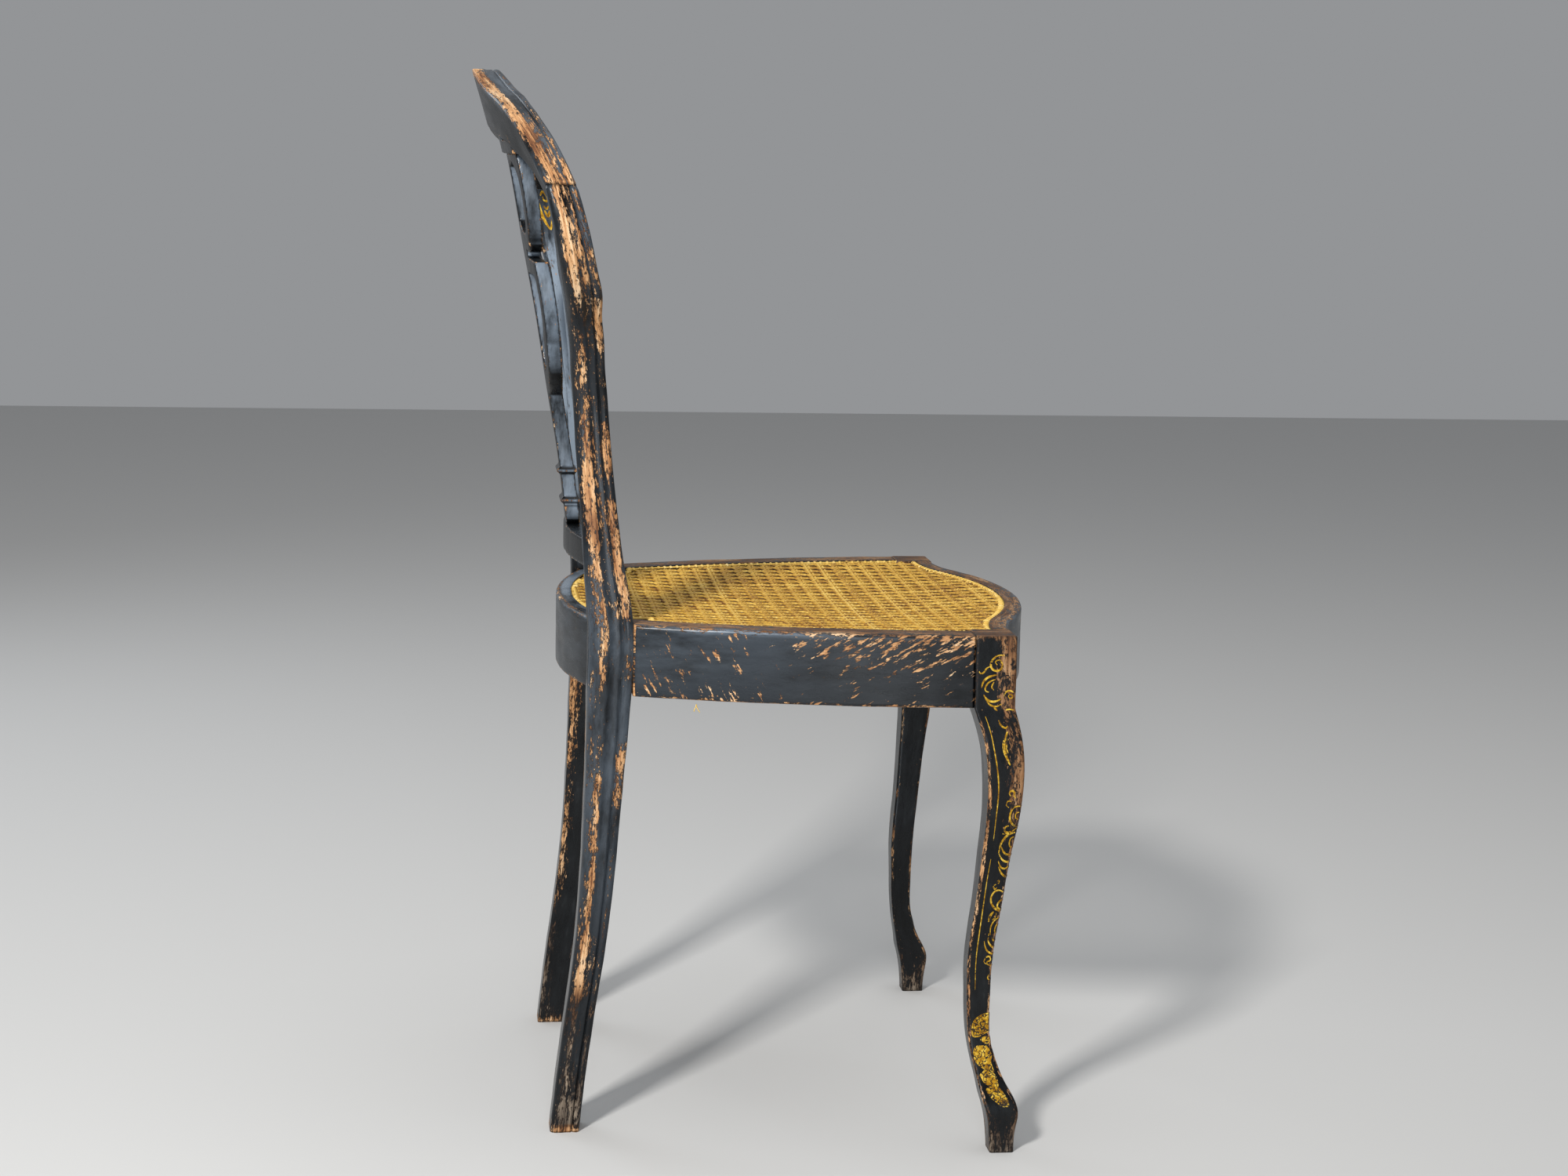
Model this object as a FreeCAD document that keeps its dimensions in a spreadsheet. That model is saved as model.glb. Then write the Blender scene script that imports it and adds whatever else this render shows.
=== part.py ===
import FreeCAD, Part
import math
import os

# Side chair with a moulded balloon back, pierced splat, caned seat and cabriole front legs.
# Frame: +Z up, floor at z = 0, the chair's front faces -Y, X runs across it, sitter's right at -X.

Vec = FreeCAD.Vector

# Driving sizes in millimetres, except the values whose name ends in angle, share or ratio
SIZES = [
    ("seat_height", 435.0, "floor to the top of the seat frame"),
    ("rail_height", 60.0, "height of the four seat rails"),
    ("seat_front_half", 215.3, "half width of the seat frame at the front legs"),
    ("side_bow", 10.3, "outward bow of a side rail"),
    ("post_front_y", 110.2, "front face of the back posts at the seat"),
    ("block_rear_y", -164.8, "rear face of the front leg blocks"),
    ("block_size", 34.0, "square block on top of a front leg"),
    ("block_proud", 1.7, "leg block stands proud of the side rail"),
    ("front_bow", 42.0, "how far the middle of the front rail stands ahead of the blocks"),
    ("rear_set", 13.5, "rear rail's outer face at the posts, behind the middle of the posts"),
    ("rear_bow", 24.5, "rearward bow of the rear rail"),
    ("side_rail_thick", 29.5, "thickness of a side rail"),
    ("front_rail_thick", 27.0, "thickness of the front rail"),
    ("rear_rail_thick", 25.0, "thickness of the rear rail"),
    ("edge_wear", 2.0, "wear of the rails' top outer edge"),
    ("side_border", 25.0, "frame seen beside the cane"),
    ("front_border", 15.0, "frame seen before the cane"),
    ("rear_border", 13.0, "frame seen behind the cane"),
    ("cane_rebate", 2.5, "depth of the rebate that the cane lies in"),
    ("cane_thick", 2.0, "thickness of the woven cane"),
    ("cane_clearance", 0.3, "gap between cane and rebate edge"),
    ("cane_pitch", 27.5, "spacing of the gaps in the net"),
    ("cane_strand", 9.5, "band of cane between two gaps"),
    ("cane_margin", 14.0, "plain band of cane over the frame's inner edge"),
    ("cane_corner", 14.0, "how far the cane keeps inside the back posts"),
    ("cope", 3.5, "extra length of a rear or cross rail before it is scribed to its post"),
    ("side_cope", 1.2, "the same at a side rail"),
    ("rail_end_chamfer", 2.0, "chamfer on a side rail's outer corner at the post"),
    ("binding_width", 5.5, "binding strip over the peg holes"),
    ("binding_thick", 1.2, "thickness of the binding strip"),
    ("post_x", 147.0, "middle of a back post at the seat and the foot"),
    ("post_width", 33.0, "width of a back post at the seat"),
    ("post_depth", 37.0, "depth of a back post at the seat"),
    ("leg_splay", 34.2, "rearward sweep of the rear foot"),
    ("waist_half", 124.5, "half width of the hoop at its waist"),
    ("shoulder_half", 195.0, "half width of the hoop at its shoulders"),
    ("shoulder_radius", 66.0, "radius of the hoop's shoulder"),
    ("hoop_width", 28.0, "width of the hoop at the shoulder"),
    ("hoop_depth", 25.5, "depth of the hoop at the crest joint"),
    ("back_rake", 44.5, "rearward lean of the posts from the seat to the crest joint"),
    ("back_height", 448.0, "seat frame to the peak of the crest"),
    ("crown_rise", 123.5, "height of the peak above the widest point of the hoop"),
    ("crest_rise", 47.0, "height of the crest rail at its middle"),
    ("crest_depth", 18.0, "thickness of the crest rail at its middle"),
    ("back_radius", 576.0, "radius of the back's hollow, seen from above"),
    ("back_round", 8.0, "rounding of the hoop's outer back edge at the seat"),
    ("crest_round", 1.8, "the same at the middle of the crest"),
    ("cove_depth", 1.8, "depth of the cove along the hoop"),
    ("joint_angle", 23.5, "tilt of the crest joint in degrees"),
    ("splat_half", 83.0, "half width of the splat's upper lobe"),
    ("lobe_half", 76.0, "half width of the splat's lower lobe"),
    ("splat_bar", 13.0, "half width of the splat's middle bar"),
    ("splat_rim", 14.0, "width of the splat's outer ribs"),
    ("splat_thick", 12.0, "thickness of the splat board"),
    ("splat_fore", 6.1, "splat's upper end ahead of the crest's middle"),
    ("stem_half", 14.0, "half width of the splat's stem"),
    ("ring_proud", 3.0, "how far the bead rings stand proud of the stem"),
    ("ring_height", 6.0, "height of a bead ring"),
    ("tenon_depth", 7.0, "depth of the splat's tenons"),
    ("tenon_thick", 6.0, "thickness of the splat's tenons"),
    ("tenon_half", 34.0, "half width of the upper tenon"),
    ("fit_clearance", 0.15, "gap round a tenon or a dowel"),
    ("head_over", 2.0, "splat head block reaches past the splat on each side"),
    ("head_height", 11.0, "height of the splat head block"),
    ("head_thick", 18.5, "thickness of the splat head block"),
    ("neck_half", 26.0, "half width of the neck under the crest"),
    ("neck_height", 12.0, "gap between the head block and the crest"),
    ("cross_lift", 62.0, "top of the cross rail and foot of the splat above the seat frame"),
    ("cross_set", 5.0, "cross rail at the posts, behind the middle of the posts at the seat"),
    ("cross_height", 23.0, "height of the cross rail"),
    ("cross_thick", 15.0, "thickness of the cross rail"),
    ("cross_bow", 19.5, "rearward bow of the cross rail"),
    ("leg_flare_x", 21.0, "sideways reach of a front foot from its block"),
    ("leg_flare_y", 16.4, "forward reach of a front foot from its block"),
    ("leg_chamfer", 2.2, "chamfer on the front legs' edges"),
    ("slip_thick", 9.0, "thickness of the slip tenons in the seat frame"),
    ("slip_reach", 15.0, "depth of a slip tenon in the post or leg"),
    ("slip_tail", 20.0, "depth of a slip tenon in the rail"),
    ("slip_inset", 11.0, "slip tenon from the rail's upper and lower edge"),
    ("cross_slip_reach", 12.0, "depth of a cross rail's slip tenon on each side of the joint"),
    ("cross_slip_thick", 6.0, "thickness of the slip tenons in the cross rail"),
    ("cross_slip_inset", 5.0, "slip tenon from the cross rail's upper and lower edge"),
    ("crest_dowel_diameter", 9.0, "dowel in a crest joint"),
    ("crest_dowel_reach", 20.0, "depth of that dowel on each side"),
    ("corner_leg", 52.0, "length of a corner block along the rails"),
    ("corner_height", 32.0, "height of a corner block"),
    ("corner_lift", 6.0, "corner block above the rails' lower edge"),
]

doc = FreeCAD.newDocument("chair")
sheet = doc.addObject("Spreadsheet::Sheet", "Sizes")
for row, (alias, value, note) in enumerate(SIZES, start=1):
    sheet.set("A%d" % row, note)
    sheet.set("B%d" % row, str(value))
    sheet.setAlias("B%d" % row, alias)
doc.recompute()


def size(alias):
    return float(sheet.get(alias))


S = {alias: size(alias) for alias, _, _ in SIZES}


# Seat frame outlines, seen from above

CORNER_END_SHARE = 0.75
CORNER_MIDDLE_SHARE = 0.5

# Bow's part of the two radii of the serpentine front
FRONT_BOW_SHARE = 0.715


def radius_from_bow(chord, bow):
    return (chord * chord / 4 + bow * bow) / (2 * bow)


post_y = S["post_front_y"] + S["post_depth"] / 2
seat_rear_half = S["post_x"] + S["post_width"] / 2
rear_mid_y = post_y + S["rear_set"] + S["rear_bow"]
block_front_y = S["block_rear_y"] - S["block_size"]
block_outer_x = S["seat_front_half"] + S["block_proud"]
block_inner_x = block_outer_x - S["block_size"]
rail_bottom = S["seat_height"] - S["rail_height"]
post_inner_x = S["post_x"] - S["post_width"] / 2

side_dx = S["seat_front_half"] - seat_rear_half
side_dy = S["post_front_y"] - S["block_rear_y"]
side_chord = math.hypot(side_dx, side_dy)
side_radius = radius_from_bow(side_chord, S["side_bow"])
side_mid_x = (S["seat_front_half"] + seat_rear_half) / 2
side_mid_y = (S["post_front_y"] + S["block_rear_y"]) / 2
side_reach = side_radius - S["side_bow"]
side_centre_x = side_mid_x - side_reach * side_dy / side_chord
side_centre_y = side_mid_y - side_reach * side_dx / side_chord


def side_x(y, inset):
    """Half width of the side rail's outline at y, inset from its outer face."""
    radius = side_radius - inset
    return side_centre_x + math.sqrt(radius * radius - (y - side_centre_y) ** 2)


rear_radius = radius_from_bow(2 * post_inner_x, S["rear_bow"])
rear_centre_y = rear_mid_y - rear_radius


def rear_y(x, inset):
    """Rear rail's outline at x, inset from its outer face."""
    radius = rear_radius - inset
    return rear_centre_y + math.sqrt(radius * radius - x * x)


radii_sum = (block_inner_x ** 2 + S["front_bow"] ** 2) / (2 * S["front_bow"])
front_bow_radius = radii_sum * FRONT_BOW_SHARE
reverse_radius = radii_sum - front_bow_radius
front_centre_y = block_front_y - S["front_bow"] + front_bow_radius
reverse_centre_y = block_front_y - reverse_radius
blend_x = block_inner_x * FRONT_BOW_SHARE


def front_y(x, inset):
    """Serpentine outline of the front rail at x, inset from its outer face."""
    span = abs(x)
    bow = front_bow_radius - inset
    limit = blend_x * bow / front_bow_radius
    if span <= limit:
        return front_centre_y - math.sqrt(bow * bow - span * span)
    hollow = reverse_radius + inset
    return reverse_centre_y + math.sqrt(hollow * hollow - (block_inner_x - span) ** 2)


def line(start, end):
    return Part.LineSegment(start, end)


def arc(start, middle, end):
    return Part.ArcOfCircle(start, middle, end)


def flat(x, y):
    return Vec(x, y, 0)


def serpentine(x_from, x_to, inset):
    """Front outline from x_from to x_to as a hollow, a bow and a hollow."""
    limit = blend_x * (front_bow_radius - inset) / front_bow_radius
    if x_from > x_to:
        knots = [x_from, limit, -limit, x_to]
    else:
        knots = [x_from, -limit, limit, x_to]
    curves = []
    for start, end in zip(knots, knots[1:]):
        middle = (start + end) / 2
        points = [flat(x, front_y(x, inset)) for x in (start, middle, end)]
        curves.append(arc(*points))
    return curves


def side_curve(sign, y_from, y_to, inset):
    points = [flat(sign * side_x(y, inset), y) for y in (y_from, (y_from + y_to) / 2, y_to)]
    return arc(*points)


def rear_curve(x_from, x_to, inset):
    points = [flat(x, rear_y(x, inset)) for x in (x_from, (x_from + x_to) / 2, x_to)]
    return arc(*points)


def chain(curves):
    """Closes the gaps between curves with straight lines."""
    closed = []
    for index, curve in enumerate(curves):
        closed.append(curve)
        following = curves[(index + 1) % len(curves)]
        if curve.EndPoint.distanceToPoint(following.StartPoint) > Part.Precision.confusion():
            closed.append(line(curve.EndPoint, following.StartPoint))
    return closed


def wire_of(curves):
    return Part.Wire([curve.toShape() for curve in chain(curves)])


def cane_curves(inset):
    """Edge of the caned area, moved inward by inset; it curls round the inner corner of each post."""
    side = S["side_border"] + inset
    front = S["front_border"] + inset
    rear = S["rear_border"] + inset
    keep_off = S["cane_corner"] + inset
    corner_x = post_inner_x - keep_off
    corner_y = rear_y(corner_x, rear)
    side_end = S["post_front_y"] - keep_off * CORNER_END_SHARE
    middle_x = post_inner_x - keep_off * CORNER_MIDDLE_SHARE
    middle_y = S["post_front_y"] - keep_off * CORNER_MIDDLE_SHARE / 4
    front_x = block_inner_x - inset
    front_end = front_y(block_inner_x, front)
    left_end = flat(side_x(side_end, side), side_end)
    right_end = flat(-side_x(side_end, side), side_end)
    return [
        rear_curve(corner_x, -corner_x, rear),
        arc(flat(-corner_x, corner_y), flat(-middle_x, middle_y), right_end),
        side_curve(-1, side_end, front_end, side),
        *serpentine(-front_x, front_x, front),
        side_curve(1, front_end, side_end, side),
        arc(left_end, flat(middle_x, middle_y), flat(corner_x, corner_y)),
    ]


# Document helpers

def add_feature(name, shape):
    feature = doc.addObject("Part::Feature", name)
    feature.Shape = shape
    return feature


def origin_plane(body, role):
    return next(item for item in body.Origin.OriginFeatures if item.Role == role)


def add_sketch(body, name, curves, lift):
    """Closed sketch on the body's ground plane, lifted by an expression of the sheet."""
    sketch = body.newObject("Sketcher::SketchObject", name)
    sketch.AttachmentSupport = [(origin_plane(body, "XY_Plane"), "")]
    sketch.MapMode = "FlatFace"
    sketch.setExpression("AttachmentOffset.Base.z", lift)
    for curve in chain(curves):
        sketch.addGeometry(curve)
    return sketch


def add_pad(body, name, curves, lift, height):
    """Pads a plan outline; lift and height are expressions of the sheet."""
    sketch = add_sketch(body, name + "_outline", curves, lift)
    pad = body.newObject("PartDesign::Pad", name)
    pad.Profile = sketch
    pad.setExpression("Length", height)
    return pad


def new_body(name):
    return doc.addObject("PartDesign::Body", name)


def add_cut(name, base, tools):
    """Takes every tool away from base."""
    result = base
    for index, tool in enumerate(tools):
        cut = doc.addObject("Part::Cut", "%s_cut_%d" % (name, index))
        cut.Base = result
        cut.Tool = tool
        result = cut
    return result


NODES = []


def keep(name, feature):
    feature.Label = name
    NODES.append((name, feature))
    return feature


SIDES = (("right", -1), ("left", 1))
BOTTOM = "Sizes.seat_height - Sizes.rail_height"


# Moulded balloon-back hoop: two back posts and the crest between them

HALF_SHARE = 0.5
RIDGE_SHARE = 0.42
COVE_SHARE = 0.74
BEAD_SHARE = 0.45
ROUND_ANGLES = [10.0, 80.0]


def moulded_section(centre, outward, width, depth, round_off):
    """Closed profile across the hoop: rounded back, ridge, cove and front bead on the outer face.

    outward is the unit normal of the hoop in the front view, round_off the rounding of the outer
    back edge; the profile is sheared so that the faces follow the slope of the back.
    """
    half = width / 2
    back = -depth / 2
    fore = depth / 2
    ridge_to = back + depth * RIDGE_SHARE
    cove_end = back + depth * COVE_SHARE
    cove_floor = half - S["cove_depth"]
    bead_top = half - S["cove_depth"] * BEAD_SHARE

    def at(across, forward):
        shift = BACK_LEAN_RATIO * across * outward.z - forward
        return centre + outward * across + Vec(0, shift, 0)

    ring = [at(-half, back)]
    for turn in ROUND_ANGLES:
        swing = math.radians(turn)
        ring.append(at(half - round_off + round_off * math.sin(swing),
                       back + round_off - round_off * math.cos(swing)))
    ring += [
        at(half, ridge_to),
        at(cove_floor, ridge_to + S["cove_depth"]),
        at(cove_floor, cove_end - S["cove_depth"]),
        at(bead_top, cove_end),
        at(bead_top, fore),
        at(-half, fore),
    ]
    return Part.makePolygon(ring + ring[:1])


# Rear leg: shares of seat height, leg splay, post width and post depth, from the floor up
LEG_SHARES = [
    (0.0, 1.0, 0.79, 0.66),
    (0.127, 0.83, 0.79, 0.657),
    (0.253, 0.615, 0.80, 0.665),
    (0.37, 0.415, 0.82, 0.70),
    (0.506, 0.255, 0.85, 0.757),
    (0.667, 0.135, 0.91, 0.838),
    (0.805, 0.045, 0.97, 0.93),
    (0.9, 0.0, 1.0, 1.0),
    (1.0, 0.0, 1.0, 1.0),
]

# Stile up to the waist: shares of the height from the seat to the shoulder's curve, of the way from post to waist,
# of the back rake, and of the way from post to hoop in width and in depth
STILE_SHARES = [
    (0.125, 0.78, 0.09, 0.25, 0.25),
    (0.304, 0.40, 0.20, 0.60, 0.58),
    (0.467, 0.11, 0.30, 0.90, 0.68),
    (0.613, 0.0, 0.37, 1.0, 0.78),
]

# Stile from the waist to the shoulder: shares of the same height, of the way out from the waist,
# of the back rake and of the way from post to hoop in depth
FLARE_SHARES = [
    (0.7125, 0.043, 0.43, 0.84),
    (0.806, 0.149, 0.483, 0.87),
    (0.884, 0.305, 0.54, 0.87),
    (0.944, 0.50, 0.59, 0.87),
]

# Shoulder of the post: angles of the hoop's outward direction in degrees and shares of the back rake
SHOULDER_ANGLES = [-45.0, -30.0, -12.0, 5.0]
SHOULDER_RAKE_SHARES = [0.64, 0.70, 0.785, 0.88]

# Crest from the shoulder to the peak: shares of shoulder half width, of the rise left to the
# middle of the peak, and of the way from hoop to crest in height and in depth
CREST_ANGLES = [46.0]
CREST_ANGLE_SHARES = [0.115]
CREST_SHARES = [
    (0.769, 0.343, 0.345, 0.38),
    (0.538, 0.642, 0.49, 0.645),
    (0.267, 0.846, 0.695, 0.86),
    (0.0, 1.0, 1.0, 1.0),
]
BACK_LEAN_RATIO = 0.29

shoulder_centre_x = S["shoulder_half"] - S["shoulder_radius"]
crest_height = S["seat_height"] + S["back_height"]
shoulder_height = crest_height - S["crown_rise"]
splat_base = S["seat_height"] + S["cross_lift"]
splat_top = crest_height - S["crest_rise"] - S["neck_height"] - S["head_height"]
splat_foot_y = post_y + S["cross_set"] + S["cross_bow"]
head_half = S["splat_half"] + S["head_over"]
stile_top = shoulder_height + S["shoulder_radius"] * math.sin(math.radians(SHOULDER_ANGLES[0]))
stile_span = stile_top - S["seat_height"]


def mix(start, end, share):
    return start + (end - start) * share


def shoulder_point(angle):
    turn = math.radians(angle)
    x = shoulder_centre_x + S["shoulder_radius"] * math.cos(turn)
    z = shoulder_height + S["shoulder_radius"] * math.sin(turn)
    return x, z


joint_x, joint_z = shoulder_point(S["joint_angle"])
joint_y = post_y + S["back_rake"]


def post_stations():
    """Centre, width and depth of the right-hand post's sections in positive x, floor to crest joint."""
    rows = []
    for height, splay, width, depth in LEG_SHARES:
        centre = Vec(S["post_x"], post_y + S["leg_splay"] * splay, S["seat_height"] * height)
        rows.append((centre, S["post_width"] * width, S["post_depth"] * depth))
    for height, inward, rake, slim, shallow in STILE_SHARES:
        x = mix(S["waist_half"], S["post_x"], inward)
        centre = Vec(x, post_y + S["back_rake"] * rake, S["seat_height"] + stile_span * height)
        rows.append((centre, mix(S["post_width"], S["hoop_width"], slim),
                     mix(S["post_depth"], S["hoop_depth"], shallow)))
    for height, outward, rake, shallow in FLARE_SHARES:
        x = mix(S["waist_half"], S["shoulder_half"], outward)
        centre = Vec(x, post_y + S["back_rake"] * rake, S["seat_height"] + stile_span * height)
        rows.append((centre, S["hoop_width"], mix(S["post_depth"], S["hoop_depth"], shallow)))
    for angle, rake in zip(SHOULDER_ANGLES, SHOULDER_RAKE_SHARES):
        x, z = shoulder_point(angle)
        centre = Vec(x, post_y + S["back_rake"] * rake, z)
        rows.append((centre, S["hoop_width"], mix(S["post_depth"], S["hoop_depth"], rake)))
    rows.append((Vec(joint_x, joint_y, joint_z), S["hoop_width"], S["hoop_depth"]))
    return rows


def back_y(x, z):
    """Middle of the hollow back between the shoulders at x and z."""
    return joint_y + BACK_LEAN_RATIO * (z - joint_z) + (joint_x ** 2 - x * x) / (2 * S["back_radius"])


def crest_stations():
    """Centre, height and depth of the crest's sections in positive x, from joint to peak."""
    peak_z = crest_height - S["crest_rise"] / 2
    rows = [(Vec(joint_x, joint_y, joint_z), S["hoop_width"], S["hoop_depth"])]
    for angle, share in zip(CREST_ANGLES, CREST_ANGLE_SHARES):
        x, z = shoulder_point(angle)
        rows.append((Vec(x, back_y(x, z), z), mix(S["hoop_width"], S["crest_rise"], share),
                     mix(S["hoop_depth"], S["crest_depth"], share)))
    start_z = rows[-1][0].z
    for across, rise, tall, thin in CREST_SHARES:
        x = S["shoulder_half"] * across
        z = mix(start_z, peak_z, rise)
        rows.append((Vec(x, back_y(x, z), z), mix(S["hoop_width"], S["crest_rise"], tall),
                     mix(S["hoop_depth"], S["crest_depth"], thin)))
    return rows


def post_round(depth):
    return S["back_round"] * depth / S["post_depth"]


def outward_at(rows, index):
    """Unit normal of the hoop in the front view, from the neighbouring stations."""
    before = rows[max(index - 1, 0)][0]
    after = rows[min(index + 1, len(rows) - 1)][0]
    along = after - before
    return Vec(along.z, 0, -along.x).normalize()


joint_turn = math.radians(S["joint_angle"])
joint_outward = Vec(math.cos(joint_turn), 0, math.sin(joint_turn))
upright = Vec(1, 0, 0)
skyward = Vec(0, 0, 1)


def post_shape():
    rows = post_stations()
    sections = []
    last = len(rows) - 1
    for index, (centre, width, depth) in enumerate(rows):
        if centre.z <= S["seat_height"]:
            outward = upright
        elif index == last:
            outward = joint_outward
        else:
            outward = outward_at(rows, index)
        sections.append(moulded_section(centre, outward, width, depth, post_round(depth)))
    return Part.makeLoft(sections, True, False)


def crest_shape():
    rows = crest_stations()
    last = len(rows) - 1
    normals = [joint_outward] + [outward_at(rows, index) for index in range(1, last)] + [skyward]
    near_half = []
    far_half = []
    for (centre, width, depth), outward in zip(rows, normals):
        way = 1 - centre.x / joint_x
        round_off = mix(post_round(S["hoop_depth"]), S["crest_round"], way)
        near_half.append(moulded_section(centre, outward, width, depth, round_off))
        over = Vec(-centre.x, centre.y, centre.z)
        far_half.append(moulded_section(over, Vec(-outward.x, 0, outward.z), width, depth, round_off))
    return Part.makeLoft(near_half + far_half[:last][::-1], True, False)


def mirrored(shape, sign):
    return shape if sign > 0 else shape.mirror(Vec(0, 0, 0), upright)


# Slip tenons and dowels, and the mortises and holes for them

def rod(centre, direction, diameter, reach):
    """Round bar with its middle at centre."""
    return Part.makeCylinder(diameter / 2, 2 * reach, centre - direction * reach, direction)


def crest_dowel_axis(sign):
    along = Vec(-sign * math.sin(joint_turn), BACK_LEAN_RATIO, math.cos(joint_turn)).normalize()
    return Vec(sign * joint_x, joint_y, joint_z), along


hole_play = S["fit_clearance"]
rail_slip = {
    "tail": "slip_tail",
    "reach": "slip_reach",
    "thick": "slip_thick",
    "inset": "slip_inset",
    "height": "rail_height",
}
cross_slip = {
    "tail": "cross_slip_reach",
    "reach": "cross_slip_reach",
    "thick": "cross_slip_thick",
    "inset": "cross_slip_inset",
    "height": "cross_height",
}


def slip_corner(centre, direction, kind, play):
    """Lowest corner and the sides of a slip tenon that is play larger all round."""
    back = S[kind["tail"]] + play
    ahead = S[kind["reach"]] + play
    thick = S[kind["thick"]] + 2 * play
    height = S[kind["height"]] - 2 * S[kind["inset"]] + 2 * play
    ends = (centre - direction * back, centre + direction * ahead)
    low = Vec(min(end.x for end in ends), min(end.y for end in ends), centre.z - height / 2)
    if direction.x:
        return low - Vec(0, thick / 2, 0), (back + ahead, thick, height)
    return low - Vec(thick / 2, 0, 0), (thick, back + ahead, height)


def mortise(centre, direction, kind):
    low, sides = slip_corner(centre, direction, kind, hole_play)
    return Part.makeBox(*sides, low)


def slip_feature(name, centre, direction, kind):
    """Slip tenon whose sides are bound to the sheet."""
    low, _ = slip_corner(centre, direction, kind, 0)
    slip = doc.addObject("Part::Box", name)
    along, across = ("Length", "Width") if direction.x else ("Width", "Length")
    slip.setExpression(along, "Sizes.%(reach)s + Sizes.%(tail)s" % kind)
    slip.setExpression(across, "Sizes.%(thick)s" % kind)
    slip.setExpression("Height", "Sizes.%(height)s - 2 * Sizes.%(inset)s" % kind)
    slip.Placement = FreeCAD.Placement(low, FreeCAD.Rotation())
    return slip


def slip_places():
    """Every slip tenon of the seat frame: name, centre at the joint, direction into the post or leg."""
    level = rail_bottom + S["rail_height"] / 2
    places = []
    for side, sign in SIDES:
        post_side_x = sign * (S["post_x"] + S["slip_thick"] / 2)
        leg_side_x = sign * (block_outer_x - S["block_size"] / 2)
        rear_rail_y = rear_y(post_inner_x, S["rear_rail_thick"] / 2)
        front_rail_y = block_front_y + S["front_rail_thick"] / 2 - hole_play * 2
        places.append((side + "_rear_joint_tenon", Vec(post_side_x, S["post_front_y"], level), Vec(0, 1, 0)))
        places.append((side + "_front_joint_tenon", Vec(leg_side_x, S["block_rear_y"], level), Vec(0, -1, 0)))
        across = Vec(sign, 0, 0)
        places.append((side + "_rear_rail_tenon", Vec(sign * post_inner_x, rear_rail_y, level), across))
        places.append((side + "_front_rail_tenon", Vec(sign * block_inner_x, front_rail_y, level), across))
    return places


def cross_slip_place(sign):
    level = splat_base - S["cross_height"] / 2
    middle = cross_y(S["waist_half"] - S["cross_slip_reach"] / 2)
    return Vec(sign * S["waist_half"], middle, level), Vec(sign, 0, 0)


cross_radius = radius_from_bow(2 * S["waist_half"], S["cross_bow"])


def cross_y(x):
    """Middle of the cross rail at x."""
    return splat_foot_y - cross_radius + math.sqrt(cross_radius ** 2 - x * x)


# Bent boards of the back

def board_section(z, middle_y, thick, half, radius):
    """Plan section of a board that is hollow towards the sitter."""
    drop = radius - math.sqrt(radius * radius - half * half)
    front = middle_y - thick / 2
    back = middle_y + thick / 2
    curves = [
        arc(Vec(-half, front - drop, z), Vec(0, front, z), Vec(half, front - drop, z)),
        line(Vec(half, front - drop, z), Vec(half, back - drop, z)),
        arc(Vec(half, back - drop, z), Vec(0, back, z), Vec(-half, back - drop, z)),
        line(Vec(-half, back - drop, z), Vec(-half, front - drop, z)),
    ]
    return Part.Wire([curve.toShape() for curve in curves])


# Height of the splat and its rearward lean, in shares of both
SPLAT_LEAN_SHARES = [
    (-0.06, -0.045),
    (0.0, 0.0),
    (0.07, 0.05),
    (0.193, 0.145),
    (0.364, 0.32),
    (0.563, 0.51),
    (0.753, 0.725),
    (0.927, 0.91),
    (1.0, 1.0),
    (1.05, 1.075),
    (1.12, 1.18),
]

splat_height = splat_top - splat_base
splat_lean = back_y(0, splat_top) - S["splat_fore"] - splat_foot_y


def splat_board(thick, half):
    sections = []
    for height, lean in SPLAT_LEAN_SHARES:
        z = splat_base + splat_height * height
        middle_y = splat_foot_y + splat_lean * lean
        sections.append(board_section(z, middle_y, thick, half, S["back_radius"]))
    return Part.makeLoft(sections, True, False)


def splat_y(height_share):
    rows = SPLAT_LEAN_SHARES
    for (low, low_lean), (high, high_lean) in zip(rows, rows[1:]):
        if low <= height_share <= high:
            lean = mix(low_lean, high_lean, (height_share - low) / (high - low))
            return splat_foot_y + splat_lean * lean
    raise ValueError(height_share)


def cutter(points):
    """Front-view outline as a solid that runs right through the back.

    A point is (across, height) in shares of the splat; a pair of points is an arc's middle and end.
    """
    def place(point):
        return Vec(S["splat_half"] * point[0], 0, splat_base + splat_height * point[1])

    curves = []
    here = place(points[0])
    for step in points[1:]:
        if len(step) == 2 and isinstance(step[0], tuple):
            curves.append(arc(here, place(step[0]), place(step[1])))
            here = place(step[1])
        else:
            curves.append(line(here, place(step)))
            here = place(step)
    face = Part.Face(wire_of(curves))
    return face.extrude(Vec(0, 2 * rear_mid_y, 0))


def flip(points):
    """The same outline on the other side of the middle."""
    turned = []
    for step in points:
        if isinstance(step[0], tuple):
            turned.append(tuple((-across, height) for across, height in step))
        else:
            turned.append((-step[0], step[1]))
    return turned


lobe_share = S["lobe_half"] / S["splat_half"]
stem_share = S["stem_half"] / S["splat_half"]
bar_share = S["splat_bar"] / S["splat_half"]
rim_share = S["splat_rim"] / S["splat_half"]

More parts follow.
